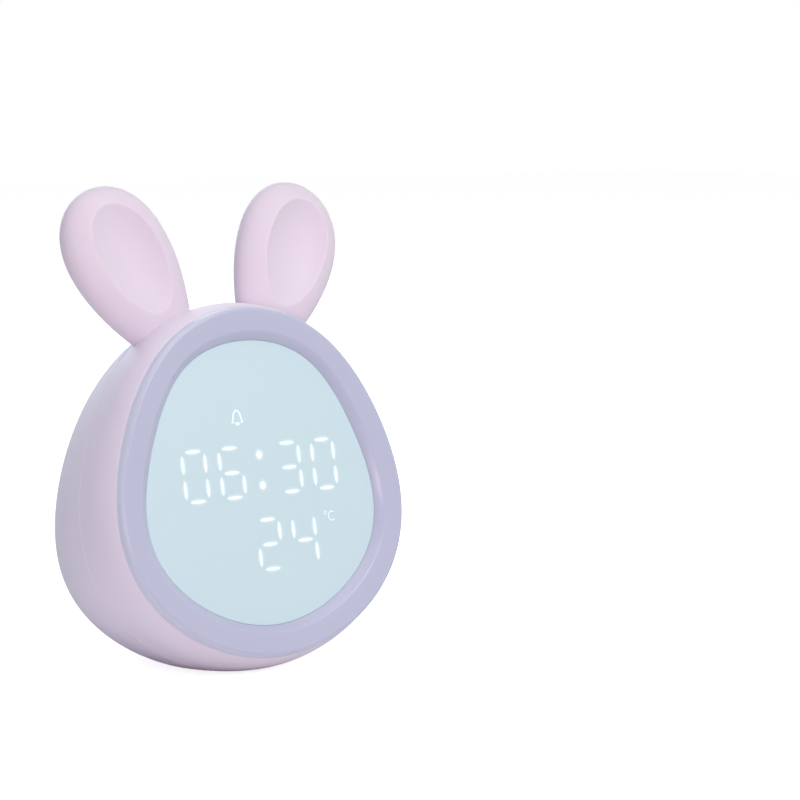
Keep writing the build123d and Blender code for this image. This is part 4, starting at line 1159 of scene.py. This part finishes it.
# ---- ears -------------------------------------------------------------------
@dataclass
class Ear:
    """A soft ear: a flattened egg with a scooped front, clamped at its neck."""

    side: int
    angle: float = 22.44
    depth: float = 13.48
    splay: float = 26.78
    lean_back: float = 2.45
    length: float = 40.24
    sunk: float = 12.61
    half_width: float = 14.88
    half_thick: float = 7.11
    egg: float = 0.32
    scoop_from_tip: float = 21.73
    scoop_size: tuple[float, float, float] = (21.42, 38.14, 5.94)
    scoop_egg: float = 0.10
    scoop_top: float = 8.8
    rim_round: float = 0.3
    neck: tuple[float, float] = (6.0, 4.2)
    collar_edge: float = 2.2
    collar_thick: float = 2.0
    collar_under: float = 4.8
    around: int = 240
    inner: tuple[float, ...] = (0.05, 0.15, 0.27, 0.4, 0.52, 0.64, 0.75, 0.84)
    near: tuple[float, ...] = (0.07, 0.15, 0.25, 0.45, 0.8)     # from the rim, in mm
    trim: float = 0.5           # how far under the housing's skin the ear ends

    def placed(self, points: np.ndarray) -> np.ndarray:
        """Stands points of the ear's own frame on the housing, in the face frame."""
        back, out = math.radians(-self.lean_back), math.radians(-self.side * self.splay)
        x, y, z = points.T
        y, z = (y * math.cos(back) - z * math.sin(back),
                y * math.sin(back) + z * math.cos(back))
        x, y = (x * math.cos(out) - y * math.sin(out), x * math.sin(out) + y * math.cos(out))
        root = FORM.section(np.radians([self.angle]), self.depth)[0]
        return np.column_stack((x + self.side * root[0], y + root[1], z + root[2]))

    def scoop_floor(self, x: np.ndarray, y: np.ndarray) -> np.ndarray:
        """Height of the scoop's floor over the ear's middle plane; its rim's height outside."""
        wide, long, deep = self.scoop_size
        tip = self.length - self.scoop_from_tip + long / 2
        c = np.clip(1 - 2 * (tip - y) / long, -1.0, 1.0)
        half = wide / 2 * np.sqrt(1 - c**2) * (1 + self.scoop_egg * c)
        inside = np.clip(1 - (x / np.maximum(half, 1e-6)) ** 2, 0.0, None)
        return self.scoop_top - deep * (half / (wide / 2)) * np.sqrt(inside)

    def egg_height(self, x: np.ndarray, y: np.ndarray) -> np.ndarray:
        """Height of the unscooped egg's front over the ear's middle plane."""
        c = np.clip(1 - 2 * (self.length - y) / (self.length + self.sunk), -1.0, 1.0)
        radius = self.half_width * np.sqrt(1 - c**2) * (1 + self.egg * c)
        inside = np.clip(radius**2 - x**2, 0.0, None)
        return self.half_thick / self.half_width * np.sqrt(inside)

    def reaches(self, angles: np.ndarray) -> tuple[np.ndarray, np.ndarray]:
        """How far the ear's outline and the scoop's rim lie from the scoop's middle.

        Args:
            angles: directions in the ear's plane, 0 towards the tip.

        Returns:
            The distances to the outline and to the rim.
        """
        u = np.linspace(0, 2 * math.pi, 4001)[:-1]
        x = self.half_width * np.sin(u) * (1 + self.egg * np.cos(u))
        y = self.length - (self.length + self.sunk) * (1 - np.cos(u)) / 2 - self.middle
        outline = reach(angles, np.column_stack((x, y)))
        low, high = np.zeros(len(angles)), outline * 0.999
        for _ in range(40):
            half = (low + high) / 2
            spot = half * np.sin(angles), half * np.cos(angles) + self.middle
            scooped = self.scoop_floor(*spot) < self.egg_height(*spot)
            low, high = np.where(scooped, half, low), np.where(scooped, high, half)
        return outline, low

    @property
    def middle(self) -> float:
        """The scoop's middle, along the ear."""
        return self.length - self.scoop_from_tip

    def blade(self) -> Mesh:
        """The egg with its scoop, its mesh lines running along the rim."""
        angles = turns_of(self.around)
        outline, rim = self.reaches(angles)
        front = [rim * share for share in self.inner]
        front += [np.maximum(rim - d, rim * 0.87 + 0.01) for d in self.near[::-1]] + [rim]
        front += [rim + d for d in self.near]
        last = front[-1]
        front += [last + (outline - last) * math.sin(t)
                  for t in np.linspace(0, math.pi / 2, 20)[1:]]
        back = [outline * math.cos(t) for t in np.linspace(0, math.pi / 2, 42)[1:-1]]
        rings = []
        for i, far in enumerate(front + back):
            x, y = far * np.sin(angles), far * np.cos(angles) + self.middle
            egg = self.egg_height(x, y)
            if i < len(front):
                floor, k = self.scoop_floor(x, y), self.rim_round
                blend = np.clip(0.5 + 0.5 * (floor - egg) / k, 0.0, 1.0)
                z = floor * (1 - blend) + egg * blend - k * blend * (1 - blend)
                z = np.clip(z, 0.0, egg)
            else:
                z = -egg
            rings.append(self.placed(np.column_stack((x, y, z))))
        return rings_mesh(rings)

    def plug(self) -> Mesh:
        """Neck and collar, as one stepped oval bar."""
        turns = turns_of(64)
        oval = np.column_stack((np.cos(turns), np.sin(turns)))
        neck = oval * self.neck
        collar = oval * (self.neck[0] + self.collar_edge, self.neck[1] + self.collar_edge)
        top, low = -self.collar_under, -self.collar_under - self.collar_thick
        steps = ((collar, low), (collar, top), (neck, top), (neck, self.sunk / 2))
        return rings_mesh([
            self.placed(np.column_stack((ring[:, 0], np.full(len(ring), y), ring[:, 1])))
            for ring, y in steps])

    def build(self, wardrobe: Wardrobe, name: str, node: str) -> None:
        """Makes the ear, trimmed just under the housing's skin."""
        turns = turns_of(120)
        depths = np.linspace(self.trim, 40.0, 40)
        core = rings_mesh([FORM.section(turns, float(d), self.trim) for d in depths])
        blade = cut(self.blade(), [core])
        ear = finished(name, joined([blade, self.plug()]), 50)
        wardrobe.dress(ear, Finish.EAR, nodes=(node,))


# ---- keys, screws, foot -----------------------------------------------------
@dataclass
class Controls:
    """Four soft-edged keys in the back panel, each with a raised sign."""

    panel: BackPanel
    flange: float = 0.7
    flange_thick: float = 1.0
    stem_side: float = 3.0
    stem: float = 0.8
    soft: float = 0.7
    crown: float = 0.15
    dome: tuple[tuple[float, float], ...] = ((1.9, 0.0), (1.2, 0.02))    # inset and fall
    sign_tall: float = 0.15

    def key(self, x: float) -> Mesh:
        """One key from its crowned top to its stem."""
        panel = self.panel
        top = FORM.back_depth + panel.key_proud
        under = FORM.back_depth - FORM.wall - panel.key_gap

        def cap(grow: float, depth: float) -> np.ndarray:
            ring = panel.rounded(panel.key_size, panel.key_round, grow)
            return at_depth(ring + (x, panel.key_row), depth)

        rings = [cap(-inset, top - fall) for inset, fall in self.dome]
        rings += [cap(-self.soft * (1 - math.cos(a)), top - self.crown - self.soft
                      + self.soft * math.sin(a)) for a in np.radians(np.linspace(80, 0, 7))]
        rings.append(cap(0.0, under))
        front = under - self.flange_thick
        wide, tall = (side + 2 * self.flange for side in panel.key_size)
        flange = panel.rounded((wide, tall), 0.2) + (x, panel.key_row)
        stem = panel.rounded((self.stem_side, self.stem_side), 0.1) + (x, panel.key_row)
        rings += [at_depth(ring, depth) for ring, depth in (
            (flange, under), (flange, front), (stem, front), (stem, front - self.stem))]
        return rings_mesh(rings)

    def sign(self, name: str, x: float) -> Mesh:
        """The raised sign on a key: a ring, an arrow down, an arrow up or a bell."""
        y = self.panel.key_row
        shapes = {
            "down": [(-0.9, 0.6), (0.9, 0.6), (0.0, -0.8)],
            "up": [(-0.9, -0.6), (0.9, -0.6), (0.0, 0.8)],
            "alarm": [(0.95, -0.7), *((0.6 * math.cos(a), 0.15 + 0.75 * math.sin(a))
                                      for a in np.radians(np.linspace(0, 180, 9))),
                      (-0.95, -0.7)],
        }
        top = FORM.back_depth + self.panel.key_proud
        depths = (top - 0.2, top + self.sign_tall - 0.05, top + self.sign_tall)
        if name == "set":
            steps = zip((0.9, 0.9, 0.85, 0.55, 0.5, 0.5), depths + depths[::-1])
            return rings_mesh([at_depth(circle(32) * r + (x, y), d) for r, d in steps],
                              band=True)
        # seen from behind, left and right change places, which no sign here minds
        outline = np.array(shapes[name])
        return rings_mesh([at_depth(outline * s + (x, y), d)
                           for s, d in zip((1.0, 1.0, 0.93), depths)])

    def build(self, wardrobe: Wardrobe) -> None:
        """Makes the four keys, each on its own body."""
        for name, x in zip(self.panel.keys, self.panel.key_places()):
            body = f"{name}_button"
            wardrobe.dress(finished(f"{name}_keycap", self.key(x)), Finish.KEY,
                           body=body, nodes=(f"{name}_key",))
            wardrobe.dress(finished(f"{name}_sign", self.sign(name, x)), Finish.INK,
                           body=body)
            wardrobe.redress(f"{name}_plunger", Finish.SWITCH)


@dataclass
class Fasteners:
    """Pan-head screws with a cross recess, down the wells."""

    panel: BackPanel
    seat: float = 21.0
    length: float = 9.0
    shank_r: float = 1.25
    head_r: float = 2.4
    head_tall: float = 1.4
    tip: tuple[float, float] = (1.0, 0.3)           # its length and the radius of its end
    dome: tuple[tuple[float, float], ...] = (       # shares of the head's height and radius
        (0.4, 1.0), (0.75, 0.9), (0.95, 0.6), (1.0, 0.3))
    cross: tuple[float, float, float] = (2.6, 0.55, 0.9)    # length, width and depth

    def one(self) -> Mesh:
        """A screw about the origin, its seat at depth 0."""
        h, r = self.head_tall, self.head_r
        tip, blunt = self.tip
        profile = [(-self.length, blunt), (-self.length + tip, self.shank_r),
                   (0.0, self.shank_r), (0.0, r)]
        profile += [(h * up, r * out) for up, out in self.dome]
        depths, radii = zip(*profile)
        body = rod_mesh(0, 0, depths, radii, 40)
        arm, slim, deep = self.cross
        bars = []
        for wide, tall in ((arm, slim), (slim, arm)):
            box = np.array([(wide, tall), (-wide, tall), (-wide, -tall), (wide, -tall)]) / 2
            bars.append(rings_mesh([at_depth(box * 0.7, h - deep), at_depth(box, h + 0.2)]))
        return centred(cut(body, bars))

    def build(self, wardrobe: Wardrobe) -> None:
        """Sets the four housing screws in their wells."""
        steel = wardrobe.material(Finish.STEEL)
        places = [(x, y, -self.seat, 30.0 * i) for i, (x, y) in enumerate(self.panel.wells())]
        screws = Scatter("well_screws").build(self.one(), places, steel)
        wardrobe.dress(finished("well_screws", screws), Finish.STEEL,
                       nodes=("housing_screws",))


@dataclass
class Foot:
    """The soft oval foot, its lower edge rounded and its face ribbed."""

    size: tuple[float, float] = (27.0, 32.0)
    top: float = 1.3
    edge: float = 0.35
    groove: float = 0.25
    pocket_gap: float = 0.1
    grooves: tuple[float, ...] = (2.0, 4.0, 6.0, 8.0)
    groove_wide: float = 0.9
    bank: float = 0.15          # width of a groove's sloping side

    def ring(self, inset: float, height: float) -> np.ndarray:
        """The foot's oval at a height over the table, upright and in metres."""
        low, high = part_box("foot_pad")
        middle = (Vector(low) + Vector(high)) / 2
        flat = circle(96) * (self.size[0] / 2 - inset, self.size[1] / 2 - inset) * MM
        return np.column_stack((flat[:, 0] + middle.x, flat[:, 1] + middle.y,
                                np.full(len(flat), height * MM)))

    def pocket(self) -> Mesh:
        """The room that the foot needs in the underside."""
        return rings_mesh([self.ring(-self.pocket_gap, height) for height in (-1.0, self.top)],
                          upright=True)

    def build(self, wardrobe: Wardrobe) -> None:
        """Makes the foot where its solid stands."""
        rings = [self.ring(0.0, self.top)]
        rings += [self.ring(self.edge * (1 - math.cos(a)), self.edge * (1 - math.sin(a)))
                  for a in np.radians(np.linspace(0, 90, 6))]
        for inset in self.grooves:
            end = inset + self.groove_wide
            rings += [self.ring(inset, 0.0), self.ring(inset + self.bank, self.groove),
                      self.ring(end - self.bank, self.groove), self.ring(end, 0.0)]
        pad = finished("foot_sole", rings_mesh(rings, upright=True))
        wardrobe.dress(pad, Finish.FOOT, nodes=("foot_pad",))


# ---- everything inside ------------------------------------------------------
INSIDE: dict[Finish, tuple[str, ...]] = {
    Finish.FOAM: ("window_tape", "speaker_gasket"),
    Finish.MASK: ("segment_reflector",),
    Finish.BOARD: ("display_board", "ring_led_board", "key_board", "charge_board"),
    Finish.LAMP: ("display_leds", "ring_leds"),
    Finish.CHIP: ("controller_chip", "sound_chip", "charge_chip", "temperature_sensor"),
    Finish.COPPER: ("touch_foil",),
    Finish.CRADLE: ("battery_cradle", "speaker_clamp"),
    Finish.WRAP: ("battery_pack",),
    Finish.SWITCH: ("switch_housings",),
    Finish.STEEL: ("speaker_frame", "usb_socket", "board_screws", "clamp_screws",
                   "key_board_screws"),
    Finish.CONE: ("speaker_cone",),
    Finish.MAGNET: ("speaker_magnet",),
}


# ---- studio -----------------------------------------------------------------
@dataclass(frozen=True)
class Lamp:
    """A square soft lamp that looks at the middle of the clock."""

    name: str
    place: tuple[float, float, float]       # metres
    side: float                             # metres
    watts: float
    colour: str = "FFFFFF"

    def build(self) -> None:
        """Hangs the lamp."""
        light = bpy.data.lights.new(self.name, "AREA")
        light.shape = "SQUARE"
        light.size = self.side
        light.energy = self.watts
        light.color = linear(self.colour)[:3]
        lamp = linked(self.name, light)
        lamp.location = self.place
        look = Vector((0.0, 0.0, 0.06)) - Vector(self.place)
        lamp.rotation_euler = look.to_track_quat("-Z", "Y").to_euler()


@dataclass
class Studio:
    """A white floor and sky, soft lamps and the camera."""

    turn: float = 38.0              # degrees that the camera stands to the left
    rise: float = 6.556             # degrees that it looks down
    offset: tuple[float, float, float] = (-378.2, -544.4, 96.0)
    lens: float = 113.40
    floor_side: float = 8.0
    sky: float = 0.21
    sky_colour: str = "FCFDFF"
    floor_lift: float = 0.8         # what the camera sees on top of the floor's own light
    lamps: tuple[Lamp, ...] = (
        Lamp("top_light", (0.0, 0.0, 1.4), 1.2, 5.2),
        Lamp("front_light", (0.3, -1.1, 0.9), 0.8, 8.0),
        Lamp("key_light", (-0.35, -0.65, 1.2), 0.9, 1.9),
        Lamp("right_light", (1.3, -0.3, 0.5), 0.8, 1.0),
        Lamp("back_light", (0.3, 1.3, 0.6), 0.8, 4.8, "DCF0FF"),
        Lamp("side_light", (-1.1, 0.7, 0.35), 0.7, 0.8, "70C8FF"),
        Lamp("low_side_light", (-1.0, -0.15, 0.15), 0.28, 0.22, "DCECFF"),
        Lamp("low_front_light", (-0.7, -0.9, 0.12), 0.22, 3.0, "FFDCE8"),
    )

    def seen_white(self, tree: NodeTree, output: str, shader: NodeSocket,
                   white: NodeSocket) -> None:
        """Shows plain white to the camera, to gloss and through glass, the shader elsewhere."""
        path = add(tree, "ShaderNodeLightPath")
        glossy = add(tree, "ShaderNodeMath", {
            0: path.outputs["Is Camera Ray"], 1: path.outputs["Is Glossy Ray"]},
            operation="MAXIMUM")
        seen = add(tree, "ShaderNodeMath", {
            0: glossy.outputs[0], 1: path.outputs["Is Transmission Ray"]}, operation="MAXIMUM")
        mixed = add(tree, "ShaderNodeMixShader", {0: seen.outputs[0], 1: shader, 2: white})
        add(tree, output, {"Surface": mixed.outputs[0]})

    def world(self) -> None:
        """An even sky that the camera sees as white."""
        world = bpy.data.worlds.new("soft_sky")
        bpy.context.scene.world = world
        tree = blank_tree(world)
        light = add(tree, "ShaderNodeBackground", {
            "Color": linear(self.sky_colour), "Strength": self.sky})
        white = add(tree, "ShaderNodeBackground", {"Color": (1, 1, 1, 1), "Strength": 1.0})
        self.seen_white(tree, "ShaderNodeOutputWorld", light.outputs[0], white.outputs[0])

    def floor(self) -> None:
        """A white table that keeps the clock's shadow."""
        half = self.floor_side / 2
        mesh = bpy.data.meshes.new("table")
        mesh.from_pydata([(-half, -half, 0), (half, -half, 0), (half, half, 0),
                          (-half, half, 0)], [], [(0, 1, 2, 3)])
        table = linked("table", mesh)
        material = bpy.data.materials.new("matt_white_laminate")
        tree = blank_tree(material)
        path = add(tree, "ShaderNodeLightPath")
        lift = add(tree, "ShaderNodeMath", {
            0: path.outputs["Is Camera Ray"], 1: self.floor_lift}, operation="MULTIPLY")
        laminate = add(tree, "ShaderNodeBsdfDiffuse", {"Color": (0.9, 0.9, 0.9, 1)})
        glow = add(tree, "ShaderNodeEmission", {"Strength": lift.outputs[0]})
        shader = add(tree, "ShaderNodeAddShader", {
            0: laminate.outputs[0], 1: glow.outputs[0]})
        add(tree, "ShaderNodeOutputMaterial", {"Surface": shader.outputs[0]})
        mesh.materials.append(material)

    def camera(self) -> None:
        """The camera, looking past the middle of the display."""
        focus = FACE.world(np.array([[0.0, 0.0, -WINDOW_DEPTH]]))[0]
        turn, rise = math.radians(self.turn), math.radians(self.rise)
        look = Vector((math.sin(turn) * math.cos(rise), math.cos(turn) * math.cos(rise),
                       -math.sin(rise)))
        data = bpy.data.cameras.new("camera")
        data.lens = self.lens
        data.sensor_width = 36.0
        data.clip_start, data.clip_end = 0.05, 50.0
        camera = linked("camera", data)
        camera.location = Vector(focus) + Vector(self.offset) * MM
        camera.rotation_euler = look.to_track_quat("-Z", "Y").to_euler()
        bpy.context.scene.camera = camera

    def build(self) -> None:
        """Sets up sky, table, lamps and camera."""
        bpy.context.scene.view_settings.view_transform = "Standard"
        self.world()
        self.floor()
        for lamp in self.lamps:
            lamp.build()
        self.camera()


def main() -> None:
    """Builds the clock piece by piece, then the studio round it."""
    logging.basicConfig(level=logging.INFO, format="%(message)s")
    wardrobe = Wardrobe()
    panel = BackPanel()
    Housing(panel).build(wardrobe)
    LightRing().build(wardrobe)
    Display().build(wardrobe)
    Ear(-1).build(wardrobe, "ear_left_soft", "left_ear")
    Ear(1).build(wardrobe, "ear_right_soft", "right_ear")
    Controls(panel).build(wardrobe)
    Fasteners(panel).build(wardrobe)
    Foot().build(wardrobe)
    for finish, nodes in INSIDE.items():
        for node in nodes:
            wardrobe.redress(node, finish)
    Studio().build()


if __name__ == "__main__":
    main()
